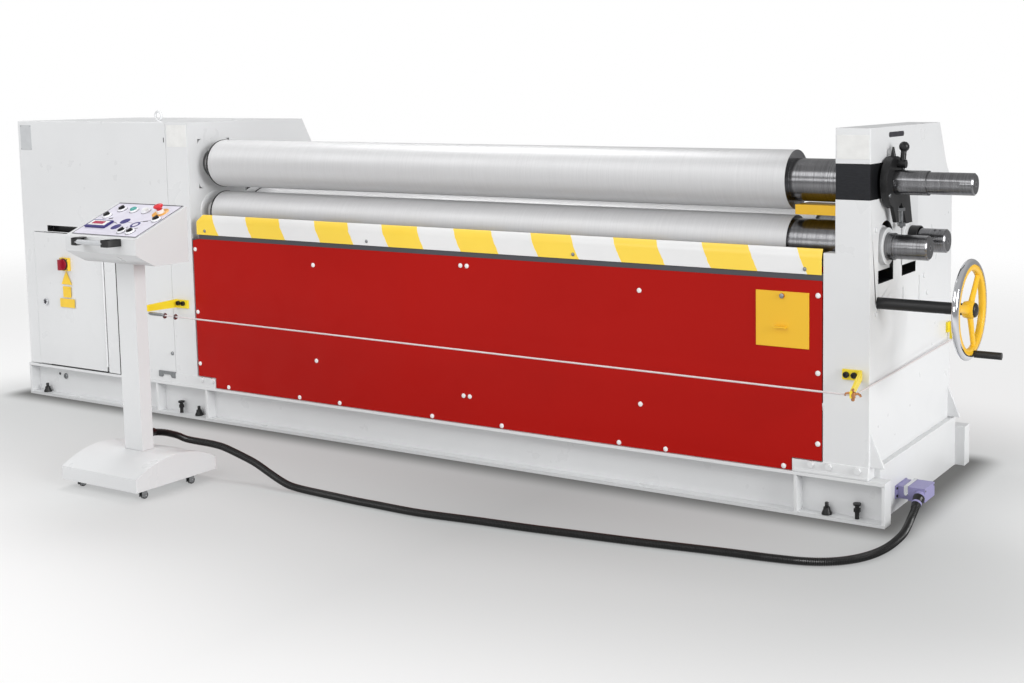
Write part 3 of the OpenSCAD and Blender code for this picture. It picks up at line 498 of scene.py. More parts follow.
path = smooth_line(ROUTE, 16)
rings = spaced(path, 0.0016)
ridge = (1.0, 0.93, 0.86)
count = len(rings) - 1
conduit = Kit("conduit_tube", rubber, "machine", "conduit_black", smooth=60)
conduit.tube(rings, lambda s: CORD_D / 2 * ridge[int(round(s * count)) % 3], 12)
conduit = conduit.done()
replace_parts(conduit, "conduit")
spaced(path, 0.02)

# ---------------------------------------------------------------- CAD pieces and their finishes


def finish_node(name, mat, bevel=0.0, segments=2, angle=35):
    o = NODES[name]
    o.data.materials.clear()
    o.data.materials.append(mat)
    o.modifiers.new("weld", "WELD").merge_threshold = 1e-5
    for p in o.data.polygons:
        p.use_smooth = True
    if bevel:
        edges(o, bevel, segments, angle)
    w = o.modifiers.new("flat_faces", "WEIGHTED_NORMAL")
    w.keep_sharp, w.weight, w.mode = True, 100, "FACE_AREA_WITH_ANGLE"
    return o


for n in ("base_front_beam", "base_rear_beam", "base_left_plate", "base_right_plate"):
    finish_node(n, paint_white, 0.002)
for n in ("left_frame", "right_frame"):
    finish_node(n, frame_paint, 0.003)
finish_node("drive_housing", housing_paint, 0.003)
finish_node("cabinet_door", paint_white, 0.003)
for n in ("lifting_eye", "bearing_plate", "swing_drum"):
    finish_node(n, paint_white, 0.002)
for n in ("console_head", "console_foot", "console_post"):
    finish_node(n, console_paint, 0.0025)
for n in ("front_block_left", "front_block_right", "rear_block_left", "rear_block_right"):
    finish_node(n, block_paint, 0.002)
finish_node("front_panel", paint_red, 0.001)
finish_node("rear_panel", paint_red, 0.001)
for n in ("access_cover", "wear_block"):
    finish_node(n, paint_yellow, 0.001)
for n in ("left_bracket", "right_bracket", "rear_bracket"):
    finish_node(n, paint_lemon, 0.001)
finish_node("stripe_guard", guard_paint, 0.0015)
finish_node("guard_rail", rail_grey, 0.001)
finish_node("top_roll", top_steel, 0.002)
finish_node("front_roll", low_steel, 0.002)
finish_node("rear_roll", low_steel, 0.002)
finish_node("drop_block", block_steel, 0.002)
for n in ("clamp_plate", "clamp_lever"):
    finish_node(n, black_steel, 0.003)
finish_node("wheel_shaft", black_steel, 0.001)
for n in ("crank_grip", "mode_selector", "feed_selector", "speed_selector", "jog_left", "jog_right"):
    finish_node(n, black_plastic, 0.0008)
finish_node("switch_knob", dark_red_plastic, 0.001)
finish_node("main_switch", yellow_plastic, 0.002)
finish_node("start_button", green_plastic, 0.0008)
finish_node("lamp_button", white_plastic, 0.0008)
finish_node("console_sheet", laminate, 0.0005)
finish_node("safety_rope", rope_coat)
finish_node("connector_socket", alloy, 0.002)
finish_node("connector_plug", alloy, 0.003)
for i in "1234":
    finish_node("caster_fork_" + i, zinc, 0.0004)
    finish_node("caster_wheel_" + i, rubber, 0.001)

# ---------------------------------------------------------------- small pieces of the machine

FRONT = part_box("drive_housing")[0].y          # front faces of the housing and the frames
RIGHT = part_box("rear_bracket")[0].x           # outer face of the right frame
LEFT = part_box("bearing_plate")[1].x           # inner face of the left frame
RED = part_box("front_panel")[0].y
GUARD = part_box("stripe_guard")[0].y
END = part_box("base_right_plate")[1].x         # outer face of the base's end plate
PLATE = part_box("left_bracket")

# domed screws of the red panel
k = Kit("panel_screws", white_plastic, slot="white_plastic")
places = [(-0.930, z) for z in (0.704, 0.448, 0.235)] + [(-0.290, 0.676), (-0.290, 0.305)]
places += [(x, z) for x in (0.418, 0.446) for z in (0.715, 0.243)] + [(1.158, 0.675), (1.158, 0.293)]
places += [(x, 0.152) for x in (-0.772, -0.385, -0.178, 0.271, 0.585, 1.072, 1.253, 1.681)]
places += [(1.797, z) for z in (0.701, 0.459, 0.236)]
for x, z in places:
    bolt_head(k, (x, FRONT, z), (0, -1, 0), 0.0085, 0.005)
k.done()
k = Kit("guard_screws", zinc, slot="caster_grey")
for x in (-0.867, -0.015, 0.901, 1.754):
    bolt_head(k, (x, GUARD, 0.781), (0, -1, 0), 0.0065, 0.004)
k.done()
k = Kit("cover_screw_head", zinc, slot="caster_grey")
k.lathe((1.677, RED, 0.693), (0, -1, 0), [(0, 0.0082), (0.0016, 0.0078), (0.0026, 0.005), (0.003, 0)], 24)
k.done()

# painted covers round the lower rolls' left journals
for name, (y, z) in (("front", FRONT_AXIS), ("rear", REAR_AXIS)):
    k = Kit(name + "_seal", paint_white, name + "_carriage", "paint_white")
    k.ring((LEFT, y, z), (1, 0, 0), [(0.001, 0.052), (0.004, 0.052), (0.005, 0.060), (0.005, 0.082),
                                         (0.003, 0.086), (0.001, 0.086)])
    k.done()

# black rings just left of the rolls' working faces: painted shade of the gap at each roll's left end
for name in ("top_roll", "front_roll", "rear_roll"):
    lo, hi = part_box(name)
    r, y, z = (hi.z - lo.z) / 2, (lo.y + hi.y) / 2, (lo.z + hi.z) / 2
    k = Kit(name + "_edge", rubber, name, "black_plastic")
    k.ring((ROLL_ENDS[0], y, z), (1, 0, 0), [(-0.006, 0.055), (-0.006, r + 0.0012), (-0.0005, r + 0.0012),
                                             (-0.0005, 0.055)], 96)
    k.done()

# bare plates where the machine carries its signs
k = Kit("sign_plates", label_white, slot="white_plastic", bevel=0.0004)
k.box((-1.068, FRONT - 0.0010, 1.116), (-0.955, FRONT + 0.0005, 1.204))
k.box((1.858, FRONT - 0.0010, 1.122), (1.961, FRONT + 0.0005, 1.194))
k.done()
k = Kit("rating_plate", silver_plate, slot="caster_grey", bevel=0.0004)
k.box((-1.997, FRONT - 0.0008, 1.089), (-1.924, FRONT + 0.0005, 1.198))
k.done()
rivets = Kit("rating_rivets", zinc, slot="caster_grey")
for x in (-1.993, -1.928):
    for z in (1.094, 1.193):
        bolt_head(rivets, (x, FRONT - 0.0007, z), (0, -1, 0), 0.002, 0.0012)
rivets.done()
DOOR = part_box("cabinet_door")
k = Kit("door_plates", yellow_plastic, "door", "switch_yellow", bevel=0.0004)
k.box((-1.760, DOOR[0].y - 0.0008, 0.452), (-1.708, DOOR[0].y + 0.0005, 0.500))
k.box((-1.783, DOOR[0].y - 0.0008, 0.408), (-1.687, DOOR[0].y + 0.0005, 0.446))
tri = [(-0.034, -0.027), (0.034, -0.027), (0.0, 0.032)]
k.prism(tri, (-1.734, DOOR[0].y + 0.0005, 0.536), (1, 0, 0), (0, 0, 1), 0.0014)
k.done()

# door lock and main switch
k = Kit("door_lock", chrome, "door", "caster_grey")
k.lathe((-1.881, DOOR[0].y, 0.423), (0, -1, 0), [(0, 0.0145), (0.002, 0.0145), (0.0035, 0.012),
                                                 (0.0035, 0.009), (0.0015, 0.0085)], 40)
k.done()
k = Kit("door_lock_slot", print_and_shade_black, "door", "black_plastic")
k.lathe((-1.881, DOOR[0].y - 0.0012, 0.423), (0, -1, 0), [(0, 0.0084), (0.0012, 0.0082)], 32)
k.box((-1.8815, DOOR[0].y - 0.0030, 0.417), (-1.8805, DOOR[0].y - 0.001, 0.429))
k.done()
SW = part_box("main_switch")
mid = (SW[0] + SW[1]) / 2
k = Kit("switch_screws", zinc, "door", "caster_grey")
for dx in (-0.022, 0.022):
    for dz in (-0.022, 0.022):
        cap_screw(k, (mid.x + dx, SW[0].y, mid.z + dz), (0, -1, 0), 0.003, 0.0014)
k.done()
k = Kit("switch_ring", black_plastic, "door", "black_plastic")
k.ring((mid.x, SW[0].y, mid.z), (0, -1, 0), [(0, 0.0236), (0, 0.0262), (0.0035, 0.0262), (0.0045, 0.0252),
                                             (0.0045, 0.0236)])
k.done()

# bosses, ribs and slot on the right frame's outer side
# the slot is a flat black shape: painted shade of an opening
k = Kit("side_slot", print_and_shade_black, slot="black_plastic")
k.prism(round_rect(0.133, 0.016, 0.0079), (RIGHT - 0.0004, 0.1985, 1.190), (0, 1, 0), (0, 0, 1), 0.0008)
k.done()
k = Kit("side_bosses", paint_white, slot="paint_white")
for y, z in ((0.027, 0.906), (0.032, 0.646), (0.470, 0.713), (0.502, 0.652)):
    k.lathe((RIGHT - 0.001, y, z), (1, 0, 0), [(0, 0.009), (0.004, 0.009), (0.0055, 0.007), (0.0045, 0.004),
                                             (0.0045, 0)], 24)
for y, z0, z1 in ((0.268, 0.655, 0.702), (0.421, 0.634, 0.722)):
    k.prism(round_rect(0.007, z1 - z0, 0.0034), (RIGHT - 0.001, y, (z0 + z1) / 2),
            (0, 1, 0), (0, 0, 1), 0.004)
k.done()

# marks and small fixtures of the left frame and housing, and bolts of the frames' feet and brackets
k = Kit("latch_marks", print_and_shade_black, slot="black_plastic")
k.prism(round_rect(0.004, 0.020, 0.0019), (-1.087, FRONT - 0.0006, 1.143), (1, 0, 0), (0, 0, 1), -0.001)
k.done()
k = Kit("housing_foot", zinc, slot="caster_grey", bevel=0.0015)
arch = [(-0.049, -0.013), (-0.030, -0.013), (-0.022, 0.000), (0.020, 0.000), (0.028, -0.013), (0.049, -0.013),
        (0.049, 0.013), (-0.049, 0.013)]
k.prism(arch, (-1.126, FRONT + 0.001, 0.172), (1, 0, 0), (0, 0, 1), 0.007)
k.done()
k = Kit("housing_knob", zinc, slot="caster_grey")
bolt_head(k, (-1.092, FRONT, 0.262), (0, -1, 0), 0.008, 0.006)
k.done()
k = Kit("foot_bolts", paint_white, slot="paint_white")
for x in (-0.919, -0.862, 1.775, 1.835, 1.930):
    k.hexa((x, FRONT - 0.002, 0.170 if x < 1.9 else 0.168), (0, -1, 0), 0.020, 0.009)
k.done()
k = Kit("bracket_bolts", black_steel, slot="black_steel")
for x, z, y in ((-1.032, 0.478, PLATE[1].y - 0.008), (-1.005, 0.478, PLATE[1].y - 0.008),
                (1.894, 0.466, -0.029), (1.920, 0.466, -0.029)):
    cap_screw(k, (x, y, z), (0, -1, 0), 0.0095, 0.009)
k.done()

# levelling screws and anchor bolts on the base's lower flange
FLANGE = 0.011
k = Kit("levelling_screws", black_steel, slot="black_steel")
for x in (-1.933, -0.9705, 1.820):
    k.lathe((x, -0.003, FLANGE), (0, 0, 1), [(0, 0.0165), (0.004, 0.0165), (0.016, 0.0115), (0.023, 0.0105),
                                             (0.025, 0.0062), (0.037, 0.0062), (0.039, 0.005)], 32)
k.done()
k = Kit("anchor_bolts", black_steel, slot="black_steel")
for x in (-1.074, 1.921):
    k.lathe((x, -0.003, FLANGE), (0, 0, 1), [(0, 0.007), (0.050, 0.007)], 24)
    k.hexa((x, -0.003, FLANGE + 0.022), (0, 0, 1), 0.019, 0.012)
    k.lathe((x, -0.003, FLANGE + 0.040), (0, 0, 1), [(0, 0.0068), (0.003, 0.012), (0.008, 0.0135),
                                                     (0.010, 0.0125), (0.011, 0.006)], 32)
k.done()
# a flat black disc: painted shade of a hole in the web
k = Kit("web_hole", print_and_shade_black, slot="black_plastic")
k.lathe((-1.868, 0.0151, 0.095), (0, -1, 0), [(0, 0.0062), (0.0006, 0.006)], 24)
k.done()
k = Kit("web_socket", zinc, slot="caster_grey")
k.ring((-1.828, 0.0151, 0.088), (0, -1, 0), [(0, 0.006), (0, 0.0125), (0.003, 0.0125), (0.004, 0.011),
                                             (0.004, 0.007), (0.001, 0.006)])
k.lathe((-1.828, 0.0151, 0.088), (0, -1, 0), [(0, 0.0062), (0.001, 0.0055)], 24)
k.done()

# ---------------------------------------------------------------- top roll's drop device

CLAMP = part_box("clamp_plate")
k = Kit("clamp_link", zinc, "top_carrier", "caster_grey")
rod = (CLAMP[1].x - 0.006, 0.178)
k.lathe((rod[0], rod[1], 0.900), (0, 0, 1), [(0, 0.0045), (0.001, 0.005), (0.070, 0.005), (0.071, 0.004)], 20)
k.hexa((rod[0], rod[1], 0.905), (0, 0, 1), 0.022, 0.011)
k.hexa((rod[0], rod[1], 0.953), (0, 0, 1), 0.020, 0.010)
k.done()
k = Kit("clamp_screws", zinc, "top_carrier", "caster_grey")
for y, z in ((0.052, 1.010), (0.170, 1.086)):
    cap_screw(k, (CLAMP[1].x, y, z), (1, 0, 0), 0.006, 0.005)
k.done()
k = Kit("rear_shaft_collar", black_steel, "rear_roll", "black_steel")
k.ring((RIGHT + 0.0085, *REAR_AXIS), (1, 0, 0), [(0, 0.0425), (0, 0.0458), (0.0285, 0.0458), (0.030, 0.0445),
                                                   (0.030, 0.0425)], 64)
k.done()


def shaft_centre(name, body, x, y, z):
    """The centre hole that a lathe leaves in a shaft's end, drawn as a black disc of painted shade, with a
    bright rim.
    """
    k = Kit(name, print_and_shade_black, body, "black_plastic")
    k.lathe((x, y, z), (1, 0, 0), [(-0.001, 0.0062), (0.0003, 0.0062)], 24)
    k.done()
    k = Kit(name + "_rim", bright_steel, body, "roll_steel")
    k.ring((x, y, z), (1, 0, 0), [(-0.0005, 0.0062), (0.0004, 0.0062), (0.0004, 0.0085),
                                  (-0.0005, 0.0085)], 32)
    k.done()


for name, (y, z) in (("top_roll", TOP_AXIS), ("front_roll", FRONT_AXIS), ("rear_roll", REAR_AXIS)):
    shaft_centre(name + "_centre", name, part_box(name)[1].x, y, z)
# two flat black discs: painted shade of holes in the rear shaft
k = Kit("rear_shaft_holes", print_and_shade_black, "rear_roll", "black_plastic")
for x, r in ((2.056, 0.0045), (2.072, 0.0028)):
    k.lathe((x, REAR_AXIS[0] - 0.0155, REAR_AXIS[1] + 0.0346), (0, -0.41, 0.912),
            [(-0.002, r), (0.0004, r)], 20)
k.done()

# ---------------------------------------------------------------- safety rope's fittings

k = Kit("rope_eyes", zinc, slot="caster_grey")
for x in (-0.901, -0.962):
    k.ring((x, -0.160, 0.4505), (1, 0, 0), [(-0.002, 0.0035), (-0.002, 0.010), (0, 0.0115), (0.002, 0.010),
                                            (0.002, 0.0035)], 28)
k.done()
k = Kit("turnbuckle", zinc, slot="caster_grey")
k.tube([(-1.052, -0.160, 0.4535), (-1.046, -0.160, 0.4535), (-1.040, -0.160, 0.4533), (-1.010, -0.160, 0.4531),
        (-0.985, -0.160, 0.4528), (-0.974, -0.160, 0.4527), (-0.968, -0.160, 0.4525)],
       lambda s: 0.0035 + 0.0035 * sin(pi * min(1, s * 1.1)) ** 0.3 if 0.02 < s < 0.9 else 0.0045, 16)
k.done()
k = Kit("rope_hook", brass, slot="rope_wire")
hook = Vector((1.9685, -0.160, 0.4365))
k.lathe(hook + Vector((0, 0, -0.018)), (0, 0, 1),
        [(0, 0.003), (0.002, 0.0055), (0.008, 0.0055), (0.010, 0.008), (0.018, 0.009), (0.026, 0.008),
         (0.028, 0.004), (0.036, 0.004), (0.038, 0.002)], 24)
for s in (-1, 1):
    k.tube([hook + Vector((s * 0.004, 0, 0.002)), hook + Vector((s * 0.014, 0, 0.006)),
            hook + Vector((s * 0.022, 0, 0.003)), hook + Vector((s * 0.025, 0, -0.003))], 0.0036, 12)
k.done()

# ---------------------------------------------------------------- handwheel

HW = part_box("handwheel")
hub = (HW[0] + HW[1]) / 2
BIG = (HW[1].z - HW[0].z) / 2
k = Kit("wheel_rim", chrome, "handwheel", "wheel_yellow", smooth=60)
half = [(0.0105 * sin(radians(a)), BIG - 0.0125 + 0.0125 * cos(radians(a))) for a in range(-90, 91, 15)]
k.ring(hub, (1, 0, 0), half + [(0.0105, BIG - 0.016), (-0.0105, BIG - 0.016)], 128)
k.done()
k = Kit("wheel_web", paint_yellow, "handwheel", "wheel_yellow", smooth=50)
inner = [(-0.0085, BIG - 0.0165), (-0.010, BIG - 0.020), (-0.0095, BIG - 0.031), (-0.006, BIG - 0.034),
         (0.006, BIG - 0.034), (0.0095, BIG - 0.031), (0.010, BIG - 0.020), (0.0085, BIG - 0.0165)]
k.ring(hub, (1, 0, 0), inner, 128)
k.lathe(hub - Vector((0.018, 0, 0)), (1, 0, 0), [(0, 0.021), (0.002, 0.024), (0.016, 0.027), (0.030, 0.025),
                                                 (0.034, 0.022)], 48)
for a in (50, 170, -70):
    d = Vector((0, cos(radians(a)), sin(radians(a))))
    across = Vector((0, -d.z, d.y))
    n, rings_, verts, faces = 20, 9, [], []
    for j in range(rings_):
        s = j / (rings_ - 1)
        r = 0.016 + (BIG - 0.030 - 0.016) * s
        wide = 0.0135 + 0.002 * (2 * s - 1) ** 2 - 0.003 * s + 0.010 * max(0, s - 0.86)
        thick = 0.0085 - 0.0015 * s
        for i in range(n):
            c, w = cos(2 * pi * i / n), sin(2 * pi * i / n)
            verts.append(hub + d * r + across * wide * c + X * thick * w)
    for j in range(rings_ - 1):
        for i in range(n):
            faces.append((j * n + i, j * n + (i + 1) % n, (j + 1) * n + (i + 1) % n, (j + 1) * n + i))
    faces += [tuple(range(n - 1, -1, -1)), tuple(range((rings_ - 1) * n, rings_ * n))]
    k.add(verts, faces)
web = k.done()
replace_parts(web, "handwheel")
k = Kit("wheel_cap", black_plastic, "handwheel", "black_plastic", smooth=60)
k.lathe(hub + Vector((0.0155, 0, 0)), (1, 0, 0),
        [(0, 0.0215), (0.003, 0.0215), (0.006, 0.019), (0.0085, 0.013), (0.0095, 0.006), (0.0098, 0)], 48)
k.done()
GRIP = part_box("crank_grip")
gy, gz = (GRIP[0].y + GRIP[1].y) / 2, (GRIP[0].z + GRIP[1].z) / 2
k = Kit("crank_base", chrome, "handwheel", "caster_grey")
k.lathe((hub.x + 0.0085, gy, gz), (1, 0, 0), [(0, 0.0095), (0.0005, 0.0095)], 24)
k.done()

# ---------------------------------------------------------------- console

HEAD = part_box("console_head")
TILT = radians(23.4)
CORNER = Vector((HEAD[0].x, HEAD[0].y, 0.863))
UP = Vector((0, cos(TILT), sin(TILT)))
OUT = Vector((0, -sin(TILT), cos(TILT)))
SHEET_U, SHEET_V = 0.312, 0.2142
MARGIN_U, MARGIN_V = 0.022, 0.014
TOP = 0.002


def on_sheet(s, t, lift=TOP):
    """A point of the control panel: s along it, t up it, each from 0 to 1."""
    return CORNER + X * (MARGIN_U + s * SHEET_U) + UP * (MARGIN_V + t * SHEET_V) + OUT * lift


def stroke(kit, a, b, width, rise=0.0003):
    """A printed line between two points of the panel."""
    a, b = Vector((a[0] * SHEET_U, a[1] * SHEET_V)), Vector((b[0] * SHEET_U, b[1] * SHEET_V))
    d = (b - a).normalized() * width / 2
    w = Vector((-d.y, d.x))
    line = [a - d + w, a - d - w, b + d - w, b + d + w]
    kit.prism([(p.x, p.y) for p in line], on_sheet(0, 0, TOP - 0.0004), X, UP, rise + 0.0004)


k = Kit("panel_lines", print_and_shade_black, slot="black_plastic")
for a, b in (((0, 0), (1, 0)), ((1, 0), (1, 1)), ((0, 0), (0, 1))):
    stroke(k, a, b, 0.0022)
stroke(k, (0, 1.0), (1, 1.0), 0.005)
stroke(k, (0.367, 0.399), (0.437, 0.364), 0.0022)
stroke(k, (0.545, 0.425), (0.665, 0.395), 0.0010)
stroke(k, (0.739, 0.460), (0.872, 0.515), 0.0018)
stroke(k, (0.785, 0.466), (0.826, 0.483), 0.0055)
stroke(k, (0.218, 0.500), (0.240, 0.512), 0.008)
stroke(k, (0.648, 0.218), (0.672, 0.278), 0.0035)
stroke(k, (0.773, 0.220), (0.836, 0.265), 0.0035)
k.done()
k = Kit("panel_roll_signs", ink_blue, slot="black_plastic")
for s, t in ((0.505, 0.446), (0.496, 0.264)):
    k.lathe(on_sheet(s, t, TOP - 0.0002), OUT, [(0, 0.018), (0.0005, 0.018)], 48)
k.ring(on_sheet(0.727, 0.363, TOP - 0.0002), OUT,
       [(0, 0.0105), (0.0005, 0.0105), (0.0005, 0.018), (0, 0.018)])
k.done()


def tilted_box(kit, s, t, w, h, low, high, r=0.003):
    kit.prism(round_rect(w, h, r), on_sheet(s, t, low), X, UP, high - low)


k = Kit("display_frame", ink_blue, slot="black_plastic", bevel=0.0012)
tilted_box(k, 0.203, 0.300, 0.100, 0.046, TOP - 0.0005, TOP + 0.0065)
k.done()
k = Kit("display_pane", label_white, slot="white_plastic")
tilted_box(k, 0.203, 0.308, 0.084, 0.031, TOP + 0.006, TOP + 0.0069, 0.0015)
k.done()
k = Kit("display_window", screen_red, slot="red_plastic")
tilted_box(k, 0.198, 0.312, 0.055, 0.018, TOP + 0.0065, TOP + 0.0073, 0.001)
k.done()

CONTROLS = {"start_button": (0.398, 0.779), "lamp_button": (0.591, 0.777), "mode_selector": (0.197, 0.794),
            "feed_selector": (0.123, 0.568), "speed_selector": (0.925, 0.539), "jog_left": (0.681, 0.142),
            "jog_right": (0.820, 0.135)}
k = Kit("control_gaskets", print_and_shade_black, slot="black_plastic")
for s, t_ in CONTROLS.values():
    k.ring(on_sheet(s, t_, TOP - 0.0002), OUT,
           [(0, 0.0126), (0, 0.0172), (0.0011, 0.0172), (0.0011, 0.0126)], 40)
k.done()
k = Kit("control_bezels", bezel_white, slot="white_plastic", smooth=50)
for s, t_ in CONTROLS.values():
    k.ring(on_sheet(s, t_, TOP + 0.0008), OUT, [(0, 0.0124), (0, 0.0162), (0.0042, 0.0160), (0.0058, 0.0146),
                                                (0.0058, 0.0124)], 40)
k.done()
k = Kit("stop_disc", orange_plastic, slot="switch_yellow")
k.ring(on_sheet(0.832, 0.756, TOP - 0.0002), OUT, [(0, 0.0110), (0, 0.029), (0.0012, 0.029), (0.0016, 0.0283),
                                                   (0.0016, 0.0110)], 64)
k.done()
STOP = 0.840, 0.755
k = Kit("stop_mushroom", red_plastic, "e_stop", "red_plastic", smooth=50)
k.lathe(on_sheet(*STOP), OUT, [(0.004, 0.0086), (0.0175, 0.0086), (0.0195, 0.0120), (0.023, 0.0150),
                               (0.0255, 0.0162), (0.0275, 0.0160), (0.0300, 0.0138), (0.0315, 0.0095),
                               (0.0320, 0)], 48)
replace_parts(k.done(), "e_stop")
k = Kit("stop_collar", white_plastic, slot="white_plastic")
k.ring(on_sheet(*STOP, TOP + 0.001), OUT, [(0, 0.0092), (0, 0.0125), (0.011, 0.0125), (0.0125, 0.0112),
                                           (0.0125, 0.0092)], 40)
k.done()

# handle: two hollow black end brackets and a grey tube
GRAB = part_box("console_handle")
bar_y, bar_z = GRAB[0].y + 0.008, (GRAB[0].z + GRAB[1].z) / 2
k = Kit("handle_ends", black_plastic, slot="black_plastic", bevel=0.0025, smooth=40)
y0, y1 = GRAB[0].y, GRAB[1].y
for near, s in ((GRAB[0].x, 1), (GRAB[1].x, -1)):
    solid = [(near, y1), (near, y0 + 0.014), (near + s * 0.006, y0 + 0.004), (near + s * 0.016, y0),
             (near + s * 0.036, y0), (near + s * 0.036, y0 + 0.017), (near + s * 0.022, y1)]
    web = solid[:5] + [(near + s * 0.036, y0 + 0.016), (near + s * 0.018, y0 + 0.017),
                       (near + s * 0.010, y0 + 0.026), (near + s * 0.010, y1)]
    k.prism(web[::s], (0, 0, bar_z - 0.012), (1, 0, 0), (0, 1, 0), 0.024)
    for low in (-0.012, 0.009):
        k.prism(solid[::s], (0, 0, bar_z + low), (1, 0, 0), (0, 1, 0), 0.003)
ends = k.done()
k = Kit("handle_tube", grey_plastic, slot="caster_grey", smooth=60)
k.lathe((GRAB[0].x + 0.030, bar_y, bar_z), (1, 0, 0),
        [(0, 0.0082), (GRAB[1].x - GRAB[0].x - 0.060, 0.0082)], 40)
k.done()
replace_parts(ends, "console_handle")

# casters: hub discs and axle ends
for i in "1234":
    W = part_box("caster_wheel_" + i)
    c = (W[0] + W[1]) / 2
    k = Kit("caster_hub_" + i, zinc, "caster_wheel_" + i, "caster_grey")
    for s in (-1, 1):
        k.ring(c + X * s * 0.0049, (s, 0, 0),
               [(0, 0.0028), (0.0009, 0.0028), (0.0012, 0.006), (0.0008, 0.0085), (0, 0.0088)], 32)
    k.done()
    k = Kit("caster_axle_" + i, zinc, "caster_fork_" + i, "caster_grey")
    for s in (-1, 1):
        bolt_head(k, (c.x + s * 0.0094, c.y, c.z), (s, 0, 0), 0.0042, 0.0022)
    k.done()

# ---------------------------------------------------------------- connector and glands

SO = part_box("connector_socket")
cy, cz = (SO[0].y + SO[1].y) / 2, (SO[0].z + SO[1].z) / 2
k = Kit("socket_screws", black_steel, slot="black_steel")
for dy in (-0.0465, 0.0465):
    for dz in (-0.0125, 0.0125):
        cap_screw(k, (END + 0.005, cy + dy, cz + dz), (1, 0, 0), 0.0042, 0.003)
k.done()
k = Kit("socket_clips", chrome, slot="caster_grey", bevel=0.0006)
k.box((END + 0.028, cy - 0.046, cz + 0.0205), (END + 0.042, cy + 0.046, cz + 0.0235))
for s in (-1, 1):
    lo, hi = sorted((cy + s * 0.0435, cy + s * 0.0465))
    k.box((END + 0.028, lo, cz - 0.004), (END + 0.042, hi, cz + 0.0235))
    k.lathe((END + 0.035, cy + s * 0.0425, cz - 0.002), (0, s, 0),
            [(0, 0.006), (0.004, 0.006), (0.005, 0.005)], 24)
k.done()
k = Kit("plug_screws", zinc, slot="caster_grey")
for dy in (-0.041, 0.041):
    cap_screw(k, (END + 0.097, cy + dy, cz + 0.014), (1, 0, 0), 0.0032, 0.002)
k.done()
GLAND_TILT = 31                                # degrees below level
gland_end = Vector(ROUTE[-1])
gland_dir = Vector((0, -cos(radians(GLAND_TILT)), -sin(radians(GLAND_TILT))))
k = Kit("plug_gland", rubber, slot="black_plastic", smooth=50)
k.lathe(gland_end - gland_dir * 0.030, gland_dir,
        [(0, 0.0185), (0.010, 0.0185), (0.012, 0.0168), (0.026, 0.0158), (0.040, 0.0138), (0.046, 0.0128)], 40)
k.done()
gland_at = Vector(ROUTE[0])
k = Kit("post_gland", rubber, slot="black_plastic", smooth=50)
k.lathe(gland_at - Y * 0.022, (0, 1, 0), [(0, 0.0195), (0.008, 0.0195), (0.010, 0.0178), (0.024, 0.0172),
                                          (0.036, 0.0142), (0.042, 0.0129)], 40)
k.done()

# ---------------------------------------------------------------- floor and light

REACH = 60                                     # half the floor's side
BASE_MID, BASE_HALF = (0, 0.395, 0), (2.02, 0.42, 0)
plane = bpy.data.meshes.new("floor")
plane.from_pydata([(-REACH, -REACH, 0), (REACH, -REACH, 0), (REACH, REACH, 0), (-REACH, REACH, 0)],
                  [], [(0, 1, 2, 3)])
floor = bpy.data.objects.new("floor", plane)
scene.collection.objects.link(floor)
m, t, b = start("floor_pale", Roughness=0.8, Specular_IOR_Level=0.1)
at = node(t, "TexCoord").outputs["Object"]
off = node(t, "VectorMath", set_operation="SUBTRACT")
t.links.new(at, off.inputs[0])
off.inputs[1].default_value = BASE_MID
size_ = node(t, "VectorMath", set_operation="ABSOLUTE")
t.links.new(off.outputs[0], size_.inputs[0])
past = node(t, "VectorMath", set_operation="SUBTRACT")
t.links.new(size_.outputs[0], past.inputs[0])
past.inputs[1].default_value = BASE_HALF
only = node(t, "VectorMath", set_operation="MAXIMUM")
t.links.new(past.outputs[0], only.inputs[0])
only.inputs[1].default_value = (0, 0, 0)
away = node(t, "VectorMath", set_operation="LENGTH")
t.links.new(only.outputs[0], away.inputs[0])
far = away.outputs["Value"]                    # distance from the base's outline
at = node(t, "SeparateXYZ", Vector=at)
aside = maths(t, "ABSOLUTE", maths(t, "SUBTRACT", at.outputs["X"], 0.9))
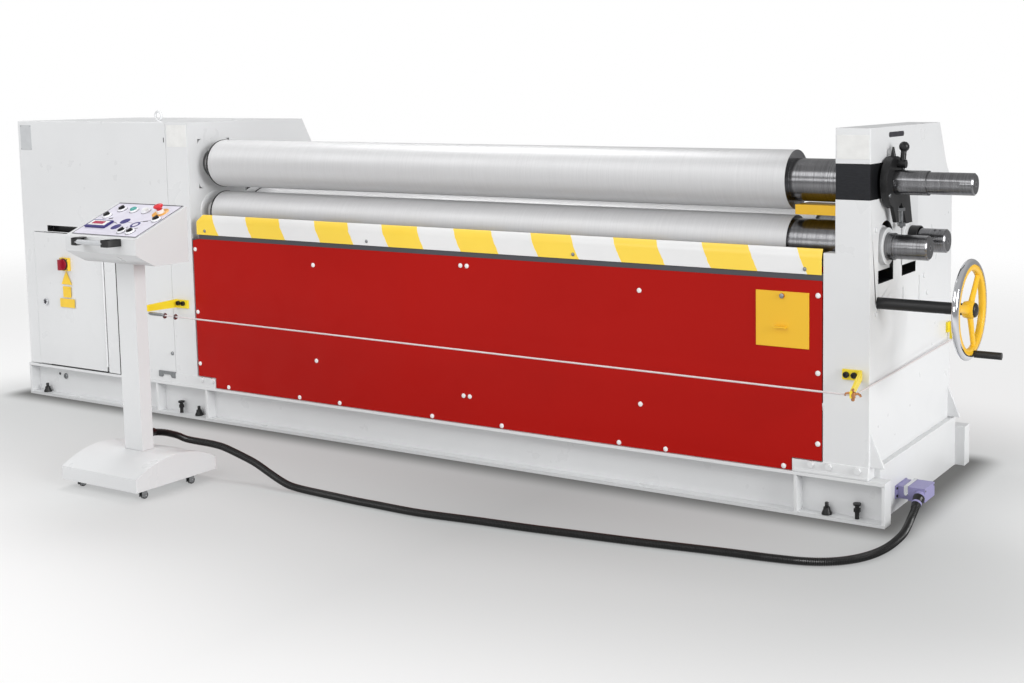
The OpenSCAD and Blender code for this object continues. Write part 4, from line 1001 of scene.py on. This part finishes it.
# painted shadow: darker near the machine and darkest at the base's edge; lighter away from it, towards both
# ends and towards the back
lit = maths(t, "ADD", far, maths(t, "MULTIPLY", aside, 0.22))
lit = maths(t, "ADD", lit, ramp(t, at.outputs["Y"], -0.7, 0.4, 0.0, 0.8))
tone = blend(t, ramp(t, lit, 0.25, 1.0, 0, 1), rgb(158, 161, 161), rgb(198, 199, 199))
tone = blend(t, ramp(t, lit, 0.8, 2.0, 0, 1), tone, rgb(238, 238, 238))
tone = blend(t, ramp(t, far, 0.0, 0.14, 0, 1), rgb(112, 112, 111), tone)
t.links.new(tone, b.inputs["Base Color"])
# half of the floor glows in its painted tone, light of its own
glow = node(t, "Emission", Color=tone, Strength=1.15)
half = node(t, "MixShader", Fac=0.5)
t.links.new(b.outputs[0], half.inputs[1])
t.links.new(glow.outputs[0], half.inputs[2])
clear = node(t, "BsdfTransparent")
mixed = node(t, "MixShader", Fac=ramp(t, far, 1.5, 6.0, 0, 1))
t.links.new(half.outputs[0], mixed.inputs[1])
t.links.new(clear.outputs[0], mixed.inputs[2])
t.links.new(mixed.outputs[0], t.nodes["Material Output"].inputs["Surface"])
plane.materials.append(m)


def lamp(name, at, to, size, power):
    d = bpy.data.lights.new(name, "AREA")
    d.shape, d.size, d.size_y, d.energy = "RECTANGLE", size[0], size[1], power
    o = bpy.data.objects.new(name, d)
    scene.collection.objects.link(o)
    o.location = at
    o.rotation_euler = (Vector(to) - Vector(at)).to_track_quat("-Z", "Y").to_euler()
    return o


lamp("key", (-1.8, -4.2, 4.2), (-0.2, 0, 0.8), (9.0, 2.2), 138)
lamp("front", (0.6, -5.6, 1.5), (0.6, 0, 0.5), (7.0, 1.0), 62)
lamp("side", (20.0, -3.6, 5.6), (0.5, 0.0, 0.6), (8.0, 8.0), 2550)
lamp("top", (-1.6, 0.9, 4.4), (-1.5, 0.2, 1.2), (2.4, 1.2), 70)

world = bpy.data.worlds.new("studio")
world.use_nodes = True
t = world.node_tree
sky = t.nodes["Background"]
up = node(t, "SeparateXYZ", Vector=node(t, "TexCoord").outputs["Generated"])
light = blend(t, ramp(t, up.outputs["Z"], -0.05, 0.8, 0, 1), (0.35, 0.35, 0.353, 1), (0.53, 0.53, 0.53, 1))
seen = node(t, "LightPath").outputs["Is Camera Ray"]
t.links.new(blend(t, seen, light, (1, 1, 1, 1)), sky.inputs["Color"])
scene.world = world
scene.view_settings.view_transform = "Standard"
